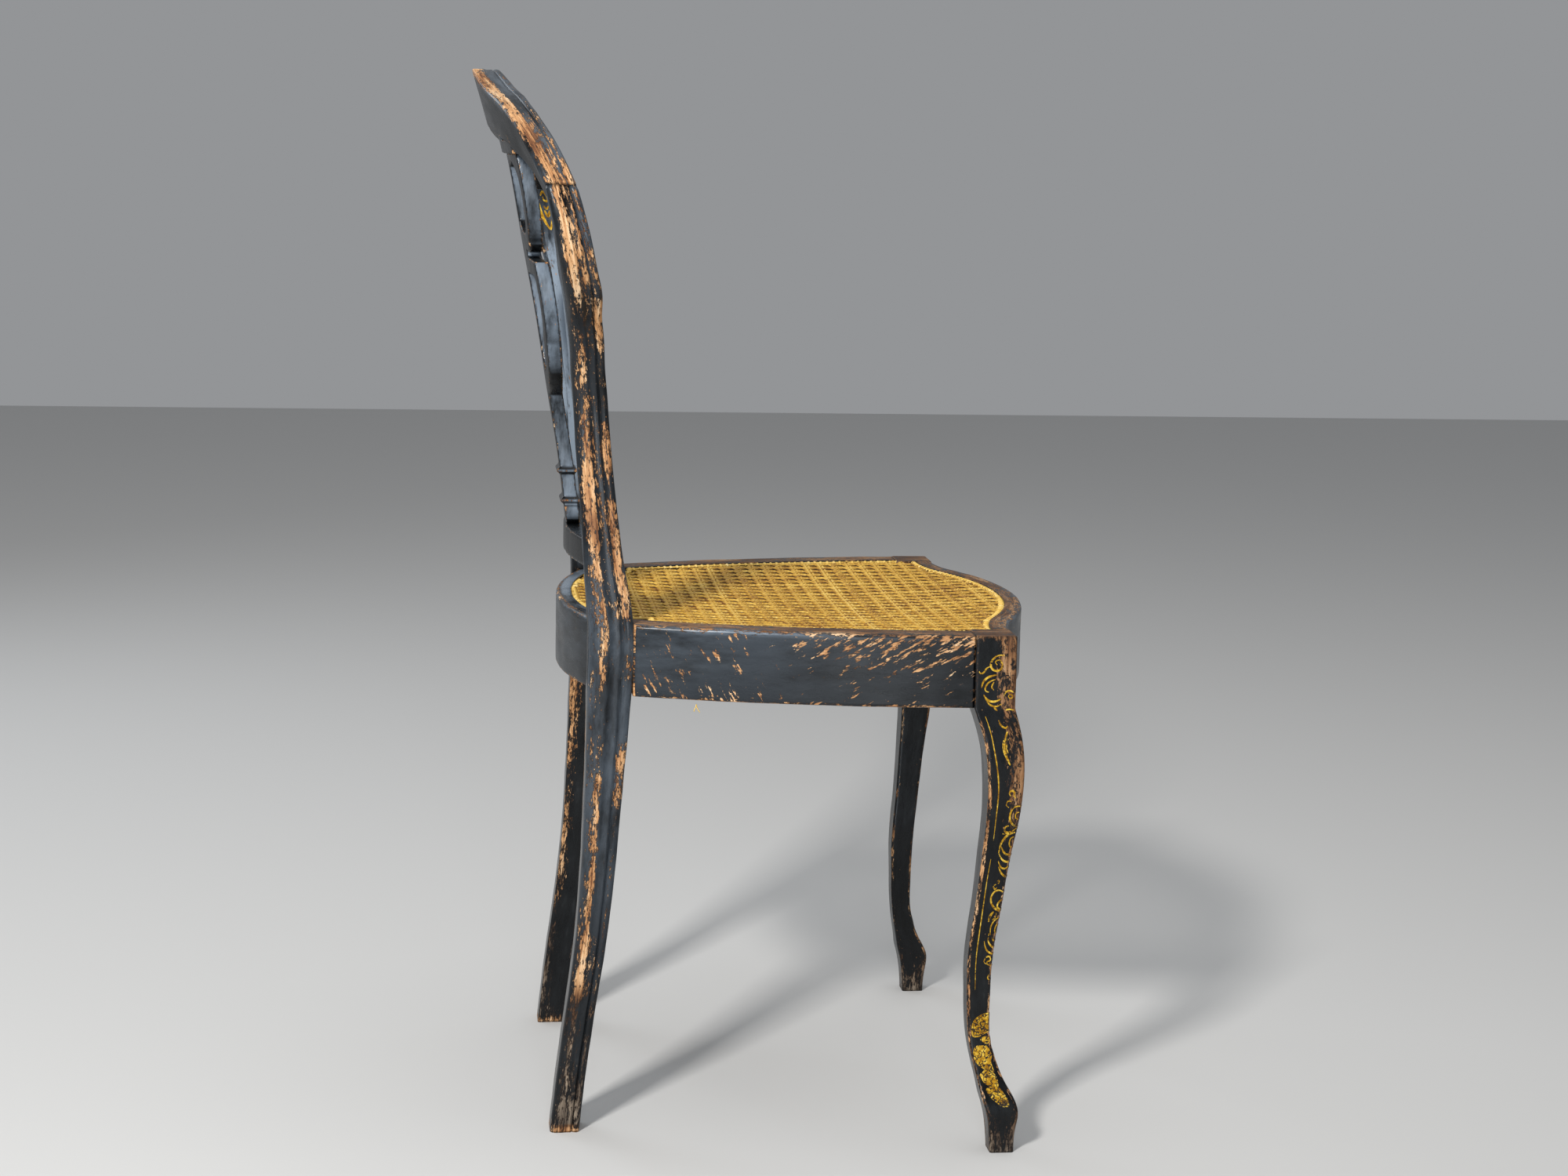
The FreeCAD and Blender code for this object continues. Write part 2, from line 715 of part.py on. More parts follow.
# Right half of the splat from the top down: upper lobe, notch, lower lobe, stem and cup
SPLAT_SHARES = [
    (0.0, 1.0),
    (0.94, 1.0),
    ((1.0, 0.89), (0.80, 0.772)),
    ((0.66, 0.745), (0.50, 0.75)),
    ((0.47, 0.738), (0.50, 0.727)),
    (lobe_share, 0.7215),
    ((lobe_share * 1.03, 0.62), (lobe_share * 0.86, 0.505)),
    ((lobe_share * 0.62, 0.408), (0.29, 0.36)),
    ((0.19, 0.29), (stem_share, 0.168)),
    (stem_share, 0.06),
    (stem_share * 1.2, 0.048),
    ((stem_share * 1.1, 0.02), (stem_share * 0.6, 0.0)),
    (0.0, 0.0),
]

UPPER_OPENING_SHARES = [
    (bar_share, 0.966),
    ((0.54, 0.976), (0.95 - rim_share, 0.94)),
    ((1.0 - rim_share, 0.87), (0.68, 0.80)),
    ((0.42, 0.795), (bar_share, 0.825)),
    (bar_share, 0.966),
]

LOWER_OPENING_SHARES = [
    (bar_share, 0.685),
    (lobe_share - rim_share, 0.685),
    ((lobe_share - rim_share * 0.85, 0.61), (lobe_share * 0.86 - rim_share, 0.525)),
    ((0.50, 0.46), (0.29, 0.42)),
    ((0.20, 0.45), (bar_share, 0.50)),
    (bar_share, 0.685),
]


def slab(half, low, high):
    """Front-view rectangle through the back between two heights."""
    corner = Vec(-half, 0, low)
    return Part.makeBox(2 * half, 2 * rear_mid_y, high - low, corner)


def tenon(half, thick, low, high):
    return splat_board(thick, half).common(slab(half, low, high))


RING_ROUND_SHARE = 0.4
RING_SHARES = [0.066, 0.148]
BLANK_SHARE = 1.1
NECK_SHARE = 0.85
tenon_gap = 2 * hole_play
base_tenon_half = S["stem_half"] / 2


def bead_ring(height_share):
    """Rounded moulding round the splat's stem."""
    half = S["stem_half"] + S["ring_proud"]
    deep = S["splat_thick"] + 2 * S["ring_proud"]
    z = splat_base + splat_height * height_share
    corner = Vec(-half, splat_y(height_share) - deep / 2, z - S["ring_height"] / 2)
    ring = Part.makeBox(2 * half, deep, S["ring_height"], corner)
    level = [edge for edge in ring.Edges if abs(edge.tangentAt(edge.FirstParameter).z) < HALF_SHARE]
    return ring.makeChamfer(S["ring_height"] * RING_ROUND_SHARE, level)


def splat_shape():
    half = cutter(SPLAT_SHARES)
    outline = half.fuse(half.mirror(Vec(0, 0, 0), upright))
    board = splat_board(S["splat_thick"], S["splat_half"] * BLANK_SHARE).common(outline)
    for opening in (UPPER_OPENING_SHARES, LOWER_OPENING_SHARES):
        board = board.cut(cutter(opening)).cut(cutter(flip(opening)))
    for share in RING_SHARES:
        board = board.fuse(bead_ring(share))
    upper = tenon(S["tenon_half"], S["tenon_thick"], splat_top - tenon_gap, splat_top + S["tenon_depth"])
    lower = tenon(base_tenon_half, S["tenon_thick"], splat_base - S["tenon_depth"], splat_base + tenon_gap)
    return board.fuse([upper, lower]).removeSplitter()


def mortises():
    """Upper and lower slot for the splat's tenons, a clearance larger all round."""
    thick = S["tenon_thick"] + tenon_gap
    reach = S["tenon_depth"] + hole_play
    upper = tenon(S["tenon_half"] + hole_play, thick, splat_top - reach, splat_top + reach)
    lower = tenon(base_tenon_half + hole_play, thick, splat_base - reach, splat_base + reach)
    return upper, lower


def head_shape(crest):
    """Bar over the splat with a hollow-sided neck that is scribed to the crest's underside."""
    top = splat_top + S["head_height"]
    bar = slab(head_half, splat_top, top)
    neck_top = crest_height - S["crest_rise"] * NECK_SHARE
    neck = slab(S["neck_half"], top, neck_top)
    blank = splat_board(S["head_thick"], head_half + S["head_thick"])
    return blank.common(bar.fuse(neck)).cut(crest).cut(mortises()[0])


def cross_shape(cutters):
    half = S["waist_half"] + S["cope"]
    levels = (splat_base - S["cross_height"], splat_base)
    sections = [board_section(z, splat_foot_y, S["cross_thick"], half, cross_radius) for z in levels]
    return Part.makeLoft(sections, True, True).cut(cutters).cut(mortises()[1])


# Cabriole front legs

# Shares of the leg's height below the rails, of the foot's flare and of the block's size
CABRIOLE_SHARES = [
    (0.0, 0.965, 0.60),
    (0.05, 0.945, 0.66),
    (0.098, 0.89, 0.80),
    (0.12, 0.74, 0.795),
    (0.147, 0.50, 0.69),
    (0.197, 0.14, 0.585),
    (0.253, -0.12, 0.54),
    (0.315, -0.18, 0.565),
    (0.435, -0.165, 0.62),
    (0.552, 0.085, 0.65),
    (0.665, 0.315, 0.705),
    (0.768, 0.54, 0.81),
    (0.84, 0.585, 0.88),
    (0.92, 0.455, 0.935),
    (1.0, 0.0, 1.0),
]


def leg_section(centre, width):
    """Square with chamfered corners."""
    half = width / 2
    cut = S["leg_chamfer"]
    corners = []
    for turn_x, turn_y in ((1, 1), (-1, 1), (-1, -1), (1, -1)):
        first = Vec(turn_x * half, turn_y * (half - cut), 0)
        second = Vec(turn_x * (half - cut), turn_y * half, 0)
        corners += [first, second] if turn_x == turn_y else [second, first]
    ring = [centre + corner for corner in corners]
    return Part.makePolygon(ring + ring[:1])


def cabriole_shape(sign):
    centre_x = block_outer_x - S["block_size"] / 2
    centre_y = S["block_rear_y"] - S["block_size"] / 2
    sections = []
    for height, flare, width in CABRIOLE_SHARES:
        centre = Vec(centre_x + S["leg_flare_x"] * flare, centre_y - S["leg_flare_y"] * flare,
                     rail_bottom * height)
        sections.append(leg_section(centre, S["block_size"] * width))
    return mirrored(Part.makeLoft(sections, True, False), sign)


# Hoop, splat and cross rail

recess_face = Part.Face(wire_of(cane_curves(0)))
recess_floor = S["seat_height"] - S["cane_rebate"]
recess = recess_face.extrude(Vec(0, 0, 2 * S["cane_rebate"]))
recess.translate(Vec(0, 0, recess_floor))
recess_tool = add_feature("cane_recess", recess)

frame_slips = slip_places()
frame_mortises = [mortise(centre, direction, rail_slip) for _, centre, direction in frame_slips]
frame_holes = add_feature("frame_mortises", Part.makeCompound(frame_mortises))
cross_mortises = [mortise(*cross_slip_place(sign), cross_slip) for _, sign in SIDES]
crest_holes = []
for _, sign in SIDES:
    centre, direction = crest_dowel_axis(sign)
    crest_holes.append(rod(centre, direction, S["crest_dowel_diameter"] + 2 * hole_play,
                           S["crest_dowel_reach"] + hole_play))

post_blanks = {}
for side, sign in SIDES:
    post = mirrored(post_shape(), sign)
    post_blanks[side] = add_feature(side + "_post_blank", post)
    post = post.cut(frame_mortises + cross_mortises + crest_holes)
    keep(side + "_back_post", add_feature(side + "_back_post", post))

crest = crest_shape()
post_shapes = [blank.Shape for blank in post_blanks.values()]
keep("crest_rail", add_feature("crest_rail", crest.cut(crest_holes)))
keep("splat", add_feature("splat", splat_shape()))
keep("splat_head_block", add_feature("splat_head_block", head_shape(crest)))
keep("cross_rail", add_feature("cross_rail", cross_shape(post_shapes).cut(cross_mortises)))

# Seat rails, corner blocks, cane and dowels

def same_ends(edge, curve):
    """True if the edge has the curve's two ends in plan."""
    ends = [flat(vertex.X, vertex.Y) for vertex in edge.Vertexes]
    if len(ends) != 2:
        return False
    limit = S["fit_clearance"]
    straight = ends[0].distanceToPoint(curve.StartPoint) + ends[1].distanceToPoint(curve.EndPoint)
    turned = ends[1].distanceToPoint(curve.StartPoint) + ends[0].distanceToPoint(curve.EndPoint)
    return min(straight, turned) < limit


def rail_body(name, outer, inner):
    """Rail padded from its plan outline, with its top outer edge worn off."""
    body = new_body(name + "_body")
    pad = add_pad(body, name + "_pad", outer + inner, BOTTOM, "Sizes.rail_height")
    doc.recompute()
    picked = []
    for index, edge in enumerate(pad.Shape.Edges, start=1):
        on_top = min(vertex.Z for vertex in edge.Vertexes) > S["seat_height"] - S["fit_clearance"]
        if on_top and any(same_ends(edge, curve) for curve in outer):
            picked.append("Edge%d" % index)
    worn = body.newObject("PartDesign::Chamfer", name + "_worn_edge")
    worn.Base = (pad, picked)
    worn.setExpression("Size", "Sizes.edge_wear")
    body.Tip = worn
    return body


def prism(name, wires, level, height):
    """Plan wires raised to level and extruded by an expression of the sheet."""
    face = add_feature(name + "_plan", Part.makeFace(wires, "Part::FaceMakerBullseye"))
    face.Placement = FreeCAD.Placement(Vec(0, 0, level), FreeCAD.Rotation())
    solid = doc.addObject("Part::Extrusion", name + "_prism")
    solid.Base = face
    solid.Dir = skyward
    solid.Solid = True
    solid.setExpression("LengthFwd", height)
    return solid


def corner_plan(sign, toward, corner_x, corner_y, deep):
    """Triangle across a corner of the seat, reaching into both rails; toward is the way into the seat."""
    leg = S["corner_leg"]
    wide = S["side_rail_thick"] / 2
    points = [
        flat(sign * (corner_x + wide), corner_y - toward * deep),
        flat(sign * (corner_x + wide), corner_y + toward * (leg + wide)),
        flat(sign * (corner_x - leg - deep), corner_y - toward * deep),
    ]
    return Part.makePolygon(points + points[:1])


def square_hole(x, y, half):
    points = [flat(x - half, y - half), flat(x + half, y - half),
              flat(x + half, y + half), flat(x - half, y + half)]
    return Part.makePolygon(points + points[:1])


def in_cane(x, y, inset):
    """True if a point keeps inset from the edge of the cane."""
    keep_off = S["cane_corner"] + inset
    if y > rear_y(x, S["rear_border"] + inset) or y < front_y(x, S["front_border"] + inset):
        return False
    if abs(x) > side_x(y, S["side_border"] + inset):
        return False
    return abs(x) < post_inner_x - keep_off or y < S["post_front_y"] - keep_off


def cane_holes():
    half = (S["cane_pitch"] - S["cane_strand"]) / 2
    steps = int(S["seat_front_half"] / S["cane_pitch"]) + 1
    holes = []
    for row in range(-steps, steps + 1):
        for column in range(-steps, steps + 1):
            x = column * S["cane_pitch"]
            y = row * S["cane_pitch"] + cane_middle_y
            corners = [(x + turn_x * half, y + turn_y * half) for turn_x in (-1, 1) for turn_y in (-1, 1)]
            if max(abs(corner[0]) for corner in corners) >= block_inner_x:
                continue
            if all(in_cane(corner[0], corner[1], S["cane_margin"]) for corner in corners):
                holes.append(square_hole(x, y, half))
    return holes


cane_middle_y = (rear_mid_y - S["rear_border"] + block_front_y - S["front_bow"] + S["front_border"]) / 2
rear_end = S["post_front_y"] + S["side_cope"]
chamfer_end = S["post_front_y"] - S["rail_end_chamfer"]
rail_half = post_inner_x + S["cope"]
legs = {}
side_bodies = {}
for side, sign in SIDES:
    leg_name = side + "_front_leg"
    block = doc.addObject("Part::Box", leg_name + "_block")
    for edge_name in ("Length", "Width"):
        block.setExpression(edge_name, "Sizes.block_size")
    block.setExpression("Height", "Sizes.rail_height")
    corner_x = block_inner_x if sign > 0 else -block_outer_x
    block.Placement = FreeCAD.Placement(Vec(corner_x, block_front_y, rail_bottom), FreeCAD.Rotation())
    leg = doc.addObject("Part::Fuse", leg_name + "_blank")
    leg.Base = add_feature(leg_name + "_cabriole", cabriole_shape(sign))
    leg.Tool = block
    leg.Refine = True
    legs[side] = leg
    keep(leg_name, add_cut(leg_name, leg, [recess_tool, frame_holes]))
    outer = [side_curve(sign, chamfer_end, S["block_rear_y"], 0)]
    inner = [
        side_curve(sign, S["block_rear_y"], rear_end, S["side_rail_thick"]),
        line(flat(sign * side_x(rear_end, S["side_rail_thick"]), rear_end),
             flat(sign * side_x(rear_end, S["rail_end_chamfer"]), rear_end)),
    ]
    side_bodies[side] = rail_body(side + "_side_rail", outer, inner)
    blank = post_blanks[side]
    keep(side + "_side_rail",
         add_cut(side + "_side_rail", side_bodies[side], [blank, recess_tool, frame_holes]))

rear_body = rail_body("rear_rail", [rear_curve(rail_half, -rail_half, 0)],
                      [rear_curve(-rail_half, rail_half, S["rear_rail_thick"])])
front_body = rail_body("front_rail", serpentine(block_inner_x, -block_inner_x, 0),
                       serpentine(-block_inner_x, block_inner_x, S["front_rail_thick"]))
keep("rear_rail", add_cut("rear_rail", rear_body, list(post_blanks.values()) + [recess_tool, frame_holes]))
keep("front_rail", add_cut("front_rail", front_body, [recess_tool, frame_holes]))

block_level = rail_bottom + S["corner_lift"]
for side, sign in SIDES:
    front_name = "front_%s_corner_block" % side
    plan = corner_plan(sign, 1, side_x(S["block_rear_y"], S["side_rail_thick"]),
                       block_front_y + S["front_rail_thick"], S["front_rail_thick"])
    solid = prism(front_name, [plan], block_level, "Sizes.corner_height")
    keep(front_name, add_cut(front_name, solid, [side_bodies[side], front_body, legs[side]]))
    rear_name = "rear_%s_corner_block" % side
    plan = corner_plan(sign, -1, side_x(S["post_front_y"], S["side_rail_thick"]),
                       rear_y(post_inner_x, S["rear_rail_thick"]), S["rear_rail_thick"])
    solid = prism(rear_name, [plan], block_level, "Sizes.corner_height")
    keep(rear_name, add_cut(rear_name, solid, [side_bodies[side], rear_body, post_blanks[side]]))

cane_edge = wire_of(cane_curves(S["cane_clearance"]))
keep("cane_panel", prism("cane_panel", [cane_edge] + cane_holes(), recess_floor, "Sizes.cane_thick"))
binding_wires = [cane_edge, wire_of(cane_curves(S["cane_clearance"] + S["binding_width"]))]
keep("cane_binding",
     prism("cane_binding", binding_wires, recess_floor + S["cane_thick"], "Sizes.binding_thick"))

for name, centre, direction in frame_slips:
    keep(name, slip_feature(name, centre, direction, rail_slip))
for side, sign in SIDES:
    name = side + "_cross_rail_tenon"
    keep(name, slip_feature(name, *cross_slip_place(sign), cross_slip))
    centre, direction = crest_dowel_axis(sign)
    dowel = doc.addObject("Part::Cylinder", side + "_crest_dowel")
    dowel.setExpression("Radius", "Sizes.crest_dowel_diameter / 2")
    dowel.setExpression("Height", "2 * Sizes.crest_dowel_reach")
    dowel.Placement = FreeCAD.Placement(centre - direction * S["crest_dowel_reach"],
                                        FreeCAD.Rotation(skyward, direction))
    keep(side + "_crest_dowel", dowel)

# Tests and export

doc.recompute()
for item in doc.Objects:
    if "Invalid" in item.State or "Error" in item.State:
        raise RuntimeError("not built: " + item.Name)
for name, feature in NODES:
    if feature.Shape.isNull() or not feature.Shape.isValid():
        raise RuntimeError("unsound shape: " + name)
os.makedirs("parts", exist_ok=True)
for name, feature in NODES:
    feature.Shape.exportStep("parts/%s.step" % name)
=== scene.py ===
import bpy
import math
import numpy as np
from mathutils import Matrix, Vector, noise


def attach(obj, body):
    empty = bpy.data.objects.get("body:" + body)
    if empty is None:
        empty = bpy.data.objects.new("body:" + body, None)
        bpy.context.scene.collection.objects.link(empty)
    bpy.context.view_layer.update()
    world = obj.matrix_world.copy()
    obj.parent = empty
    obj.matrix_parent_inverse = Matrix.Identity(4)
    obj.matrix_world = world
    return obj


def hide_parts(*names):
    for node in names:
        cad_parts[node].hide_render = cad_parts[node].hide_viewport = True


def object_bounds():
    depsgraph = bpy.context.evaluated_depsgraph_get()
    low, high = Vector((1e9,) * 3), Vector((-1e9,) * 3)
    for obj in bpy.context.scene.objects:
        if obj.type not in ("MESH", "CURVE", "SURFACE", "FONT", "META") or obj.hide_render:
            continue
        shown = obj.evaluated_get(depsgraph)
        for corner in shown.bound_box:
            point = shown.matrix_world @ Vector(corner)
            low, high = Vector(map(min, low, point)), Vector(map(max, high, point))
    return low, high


# Side chair with a moulded balloon back, pierced splat, caned seat and cabriole front legs.
# Frame: metres, +Z up, floor at z = 0, the chair's front faces -Y, sitter's right at -X.

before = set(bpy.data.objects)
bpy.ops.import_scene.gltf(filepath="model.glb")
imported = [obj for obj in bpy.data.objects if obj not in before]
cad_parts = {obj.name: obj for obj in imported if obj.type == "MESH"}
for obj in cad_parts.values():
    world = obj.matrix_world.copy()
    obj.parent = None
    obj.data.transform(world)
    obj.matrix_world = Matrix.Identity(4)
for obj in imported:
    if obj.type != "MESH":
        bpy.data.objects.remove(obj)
cad_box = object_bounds()

# Sizes in metres, the same as the solids'
SEAT_HEIGHT = 0.435
RAIL_HEIGHT = 0.060
RAIL_BOTTOM = SEAT_HEIGHT - RAIL_HEIGHT
SEAT_REAR_HALF = 0.1635
SEAT_FRONT_HALF = 0.2153
SIDE_BOW = 0.0103
POST_FRONT_Y = 0.1102
BLOCK_REAR_Y = -0.1648
BLOCK_SIZE = 0.034
BLOCK_PROUD = 0.0017
FRONT_BOW = 0.042
FRONT_BOW_SHARE = 0.715
REAR_MID_Y = 0.1667
REAR_BOW = 0.0245
SIDE_RAIL_THICK = 0.0295
FRONT_RAIL_THICK = 0.027
REAR_RAIL_THICK = 0.025
EDGE_ROUND = 0.0034
RAIL_END_CHAMFER = 0.002
SIDE_BORDER = 0.025
FRONT_BORDER = 0.015
REAR_BORDER = 0.013
CANE_REBATE = 0.0025
CANE_CORNER = 0.014
POST_X = 0.147
POST_WIDTH = 0.033
POST_DEPTH = 0.037
LEG_SPLAY = 0.0342
WAIST_HALF = 0.1245
SHOULDER_HALF = 0.195
SHOULDER_HEIGHT = 0.7595
SHOULDER_RADIUS = 0.066
HOOP_WIDTH = 0.028
HOOP_DEPTH = 0.0255
BACK_RAKE = 0.0445
CREST_HEIGHT = 0.883
CREST_RISE = 0.047
CREST_DEPTH = 0.018
BACK_RADIUS = 0.576
BACK_ROUND = 0.008
CREST_ROUND = 0.0018
COVE_DEPTH = 0.0018
ARRIS = 0.0016
JOINT_ANGLE = 23.5
JOINT_GROOVE = 0.0006
LEG_FLARE_X = 0.021
LEG_FLARE_Y = 0.0164
LEG_ARRIS = 0.0022

post_inner_x = POST_X - POST_WIDTH / 2
post_y = POST_FRONT_Y + POST_DEPTH / 2
block_front_y = BLOCK_REAR_Y - BLOCK_SIZE
block_outer_x = SEAT_FRONT_HALF + BLOCK_PROUD
block_inner_x = block_outer_x - BLOCK_SIZE
SIDES = (("right", -1), ("left", 1))


# Camera at the photograph's viewing angle

PHOTO_WIDTH_PX = 2000
FOCAL_PX = 3500
SENSOR_MM = 36.0
CAMERA_PLACE = Vector((-2.3715, 0.2686, 0.8287))
CAMERA_YAW = 0.1268
CAMERA_PITCH = 0.1616
CAMERA_ROLL = 0.0219


def add_camera():
    yaw, pitch, roll = CAMERA_YAW, CAMERA_PITCH, CAMERA_ROLL
    forward = Vector((math.cos(yaw) * math.cos(pitch), -math.sin(yaw) * math.cos(pitch), -math.sin(pitch)))
    level = Vector((-math.sin(yaw), -math.cos(yaw), 0))
    upward = level.cross(forward)
    right = level * math.cos(roll) + upward * math.sin(roll)
    up = upward * math.cos(roll) - level * math.sin(roll)
    camera = bpy.data.objects.new("camera", bpy.data.cameras.new("camera"))
    camera.data.sensor_width = SENSOR_MM
    camera.data.lens = FOCAL_PX / PHOTO_WIDTH_PX * SENSOR_MM
    turn = Matrix((right, up, -forward)).transposed().to_4x4()
    camera.matrix_world = Matrix.Translation(CAMERA_PLACE) @ turn
    bpy.context.collection.objects.link(camera)
    bpy.context.scene.camera = camera


# Floor and studio light

# Name, place, width, height, power and colour of each lamp
LAMPS = [
    ("key", (-2.2, 1.35, 2.1), 0.35, 0.35, 96, (1.0, 0.97, 0.93)),
    ("window", (-3.0, 0.18, 0.8), 0.7, 1.6, 30, (0.86, 0.93, 1.0)),
    ("low", (-2.4, 1.7, 0.3), 0.8, 0.8, 6, (0.70, 0.85, 1.0)),
    ("top", (0.2, -0.4, 3.0), 2.6, 2.6, 26, (1.0, 0.99, 0.97)),
    ("rim", (1.6, 1.6, 1.6), 1.2, 1.2, 12, (0.90, 0.95, 1.0)),
]
WORLD_COLOUR = (0.86, 0.88, 0.91, 1)
WORLD_STRENGTH = 0.34
FLOOR_COLOUR = (0.56, 0.56, 0.555, 1)
FLOOR_ROUGHNESS = 0.7
FLOOR_HALF = 6.0


def add_lamp(name, place, width, height, power, colour):
    light = bpy.data.lights.new(name, "AREA")
    light.shape = "RECTANGLE"
    light.size = width
    light.size_y = height
    light.energy = power
    light.color = colour
    lamp = bpy.data.objects.new(name, light)
    sight = Vector((0, 0, SEAT_HEIGHT)) - Vector(place)
    lamp.matrix_world = Matrix.Translation(Vector(place)) @ sight.to_track_quat("-Z", "Y").to_matrix().to_4x4()
    bpy.context.collection.objects.link(lamp)


def add_studio():
    bpy.context.scene.view_settings.view_transform = "Standard"
    world = bpy.data.worlds.new("studio")
    bpy.context.scene.world = world
    world.use_nodes = True
    background = world.node_tree.nodes["Background"]
    background.inputs["Color"].default_value = WORLD_COLOUR
    background.inputs["Strength"].default_value = WORLD_STRENGTH
    for lamp in LAMPS:
        add_lamp(*lamp)
    half = FLOOR_HALF
    mesh = bpy.data.meshes.new("floor")
    corners = [(-half, -half, 0), (half, -half, 0), (half, half, 0), (-half, half, 0)]
    mesh.from_pydata(corners, [], [(0, 1, 2, 3)])
    mesh.materials.append(Shader("floor").finish({"Base Color": FLOOR_COLOUR, "Roughness": FLOOR_ROUGHNESS}))
    floor = bpy.data.objects.new("floor", mesh)
    bpy.context.collection.objects.link(floor)


# Outlines of the seat frame, as in the solids

def radius_from_bow(chord, bow):
    return (chord * chord / 4 + bow * bow) / (2 * bow)


side_dx = SEAT_FRONT_HALF - SEAT_REAR_HALF
side_dy = POST_FRONT_Y - BLOCK_REAR_Y
side_chord = math.hypot(side_dx, side_dy)
side_radius = radius_from_bow(side_chord, SIDE_BOW)
side_reach = side_radius - SIDE_BOW
side_centre_x = (SEAT_FRONT_HALF + SEAT_REAR_HALF) / 2 - side_reach * side_dy / side_chord
side_centre_y = (POST_FRONT_Y + BLOCK_REAR_Y) / 2 - side_reach * side_dx / side_chord
rear_radius = radius_from_bow(2 * post_inner_x, REAR_BOW)
rear_centre_y = REAR_MID_Y - rear_radius
radii_sum = (block_inner_x ** 2 + FRONT_BOW ** 2) / (2 * FRONT_BOW)
front_bow_radius = radii_sum * FRONT_BOW_SHARE
reverse_radius = radii_sum - front_bow_radius
front_centre_y = block_front_y - FRONT_BOW + front_bow_radius
reverse_centre_y = block_front_y - reverse_radius
blend_x = block_inner_x * FRONT_BOW_SHARE


def side_x(y, inset):
    radius = side_radius - inset
    return side_centre_x + math.sqrt(radius * radius - (y - side_centre_y) ** 2)


def rear_y(x, inset):
    radius = rear_radius - inset
    return rear_centre_y + math.sqrt(radius * radius - x * x)


def front_y(x, inset):
    span = abs(x)
    bow = front_bow_radius - inset
    if span <= blend_x * bow / front_bow_radius:
        return front_centre_y - math.sqrt(bow * bow - span * span)
    hollow = reverse_radius + inset
    return reverse_centre_y + math.sqrt(hollow * hollow - (block_inner_x - span) ** 2)


# Curve and mesh helpers

def mix(start, end, share):
    return start + (end - start) * share


def limited(share):
    return min(max(share, 0), 1)


def spline_rows(rows, count):
    """Natural cubic spline through rows of numbers, spaced by the distance of their first three."""
    rows = np.array(rows, dtype=float)
    steps = np.linalg.norm(np.diff(rows[:, :3], axis=0), axis=1)
    knots = np.concatenate([[0], np.cumsum(steps)])
    number = len(rows)
    matrix = np.zeros((number, number))
    right = np.zeros_like(rows)
    matrix[0, 0] = matrix[-1, -1] = 1
    for i in range(1, number - 1):
        before, after = steps[i - 1], steps[i]
        matrix[i, i - 1:i + 2] = before, 2 * (before + after), after
        right[i] = 6 * ((rows[i + 1] - rows[i]) / after - (rows[i] - rows[i - 1]) / before)
    bend = np.linalg.solve(matrix, right)
    places = np.linspace(0, knots[-1], count)
    spans = np.clip(np.searchsorted(knots, places, side="right") - 1, 0, number - 2)
    width = steps[spans][:, None]
    ahead = (knots[spans + 1] - places)[:, None]
    behind = (places - knots[spans])[:, None]
    low, high = rows[spans], rows[spans + 1]
    low_bend, high_bend = bend[spans], bend[spans + 1]
    return (low_bend * ahead ** 3 + high_bend * behind ** 3) / (6 * width) \
        + (low / width - low_bend * width / 6) * ahead + (high / width - high_bend * width / 6) * behind


def dress_mesh(mesh, layers):
    """Gives a mesh named values per point and smooth shading."""
    for key, values in layers.items():
        layer = mesh.attributes.new(key, "FLOAT", "POINT")
        layer.data.foreach_set("value", np.asarray(values, dtype=float).ravel())
    mesh.polygons.foreach_set("use_smooth", [True] * len(mesh.polygons))
    mesh.update()


def link_mesh(name, verts, faces, uvs, layers):
    """Mesh object from points and faces, with uv per corner in metres and named values per point."""
    mesh = bpy.data.meshes.new(name)
    mesh.from_pydata([tuple(v) for v in verts], [], faces)
    if uvs:
        flat_uvs = [value for face in uvs for corner in face for value in corner]
        mesh.uv_layers.new(name="surface").data.foreach_set("uv", flat_uvs)
    dress_mesh(mesh, layers)
    piece = bpy.data.objects.new(name, mesh)
    bpy.context.collection.objects.link(piece)
    return piece


def sweep(name, rings, layers, uv_start=0.0):
    """Skin over closed rings of points; uv runs round the ring and along the sweep in metres."""
    rings = np.array(rings, dtype=float)
    count, around = rings.shape[:2]
    verts = rings.reshape(-1, 3)
    closed = np.concatenate([rings, rings[:, :1]], axis=1)
    across = np.cumsum(np.linalg.norm(np.diff(closed, axis=1), axis=2), axis=1)
    across = np.concatenate([np.zeros((count, 1)), across], axis=1).mean(axis=0)
    centres = rings.mean(axis=1)
    along = uv_start + np.concatenate([[0], np.cumsum(np.linalg.norm(np.diff(centres, axis=0), axis=1))])
    faces = []
    uvs = []
    for i in range(count - 1):
        for j in range(around):
            k = (j + 1) % around
            faces.append((i * around + j, i * around + k, (i + 1) * around + k, (i + 1) * around + j))
            uvs.append(((across[j], along[i]), (across[j + 1], along[i]),
                        (across[j + 1], along[i + 1]), (across[j], along[i + 1])))
    for i, order in ((0, -1), (count - 1, 1)):
        ring = list(range(i * around, (i + 1) * around))[::order]
        faces.append(tuple(ring))
        uvs.append([(verts[v][0], verts[v][1]) for v in ring])
    piece = link_mesh(name, verts, faces, uvs, layers)
    weighted = piece.modifiers.new("normals", "WEIGHTED_NORMAL")
    weighted.keep_sharp = True
    return piece


def finish_piece(piece, material, *nodes):
    piece.data.materials.append(material)
    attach(piece, "root")
    if nodes:
        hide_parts(*nodes)
    return piece


# Reach of the wood's unevenness in metres, its features per metre, and the seed that keeps it the same each run
UNEVEN = 0.0003
UNEVEN_SCALE = 45.0
NOISE_SEED = 7
noise.seed_set(NOISE_SEED)


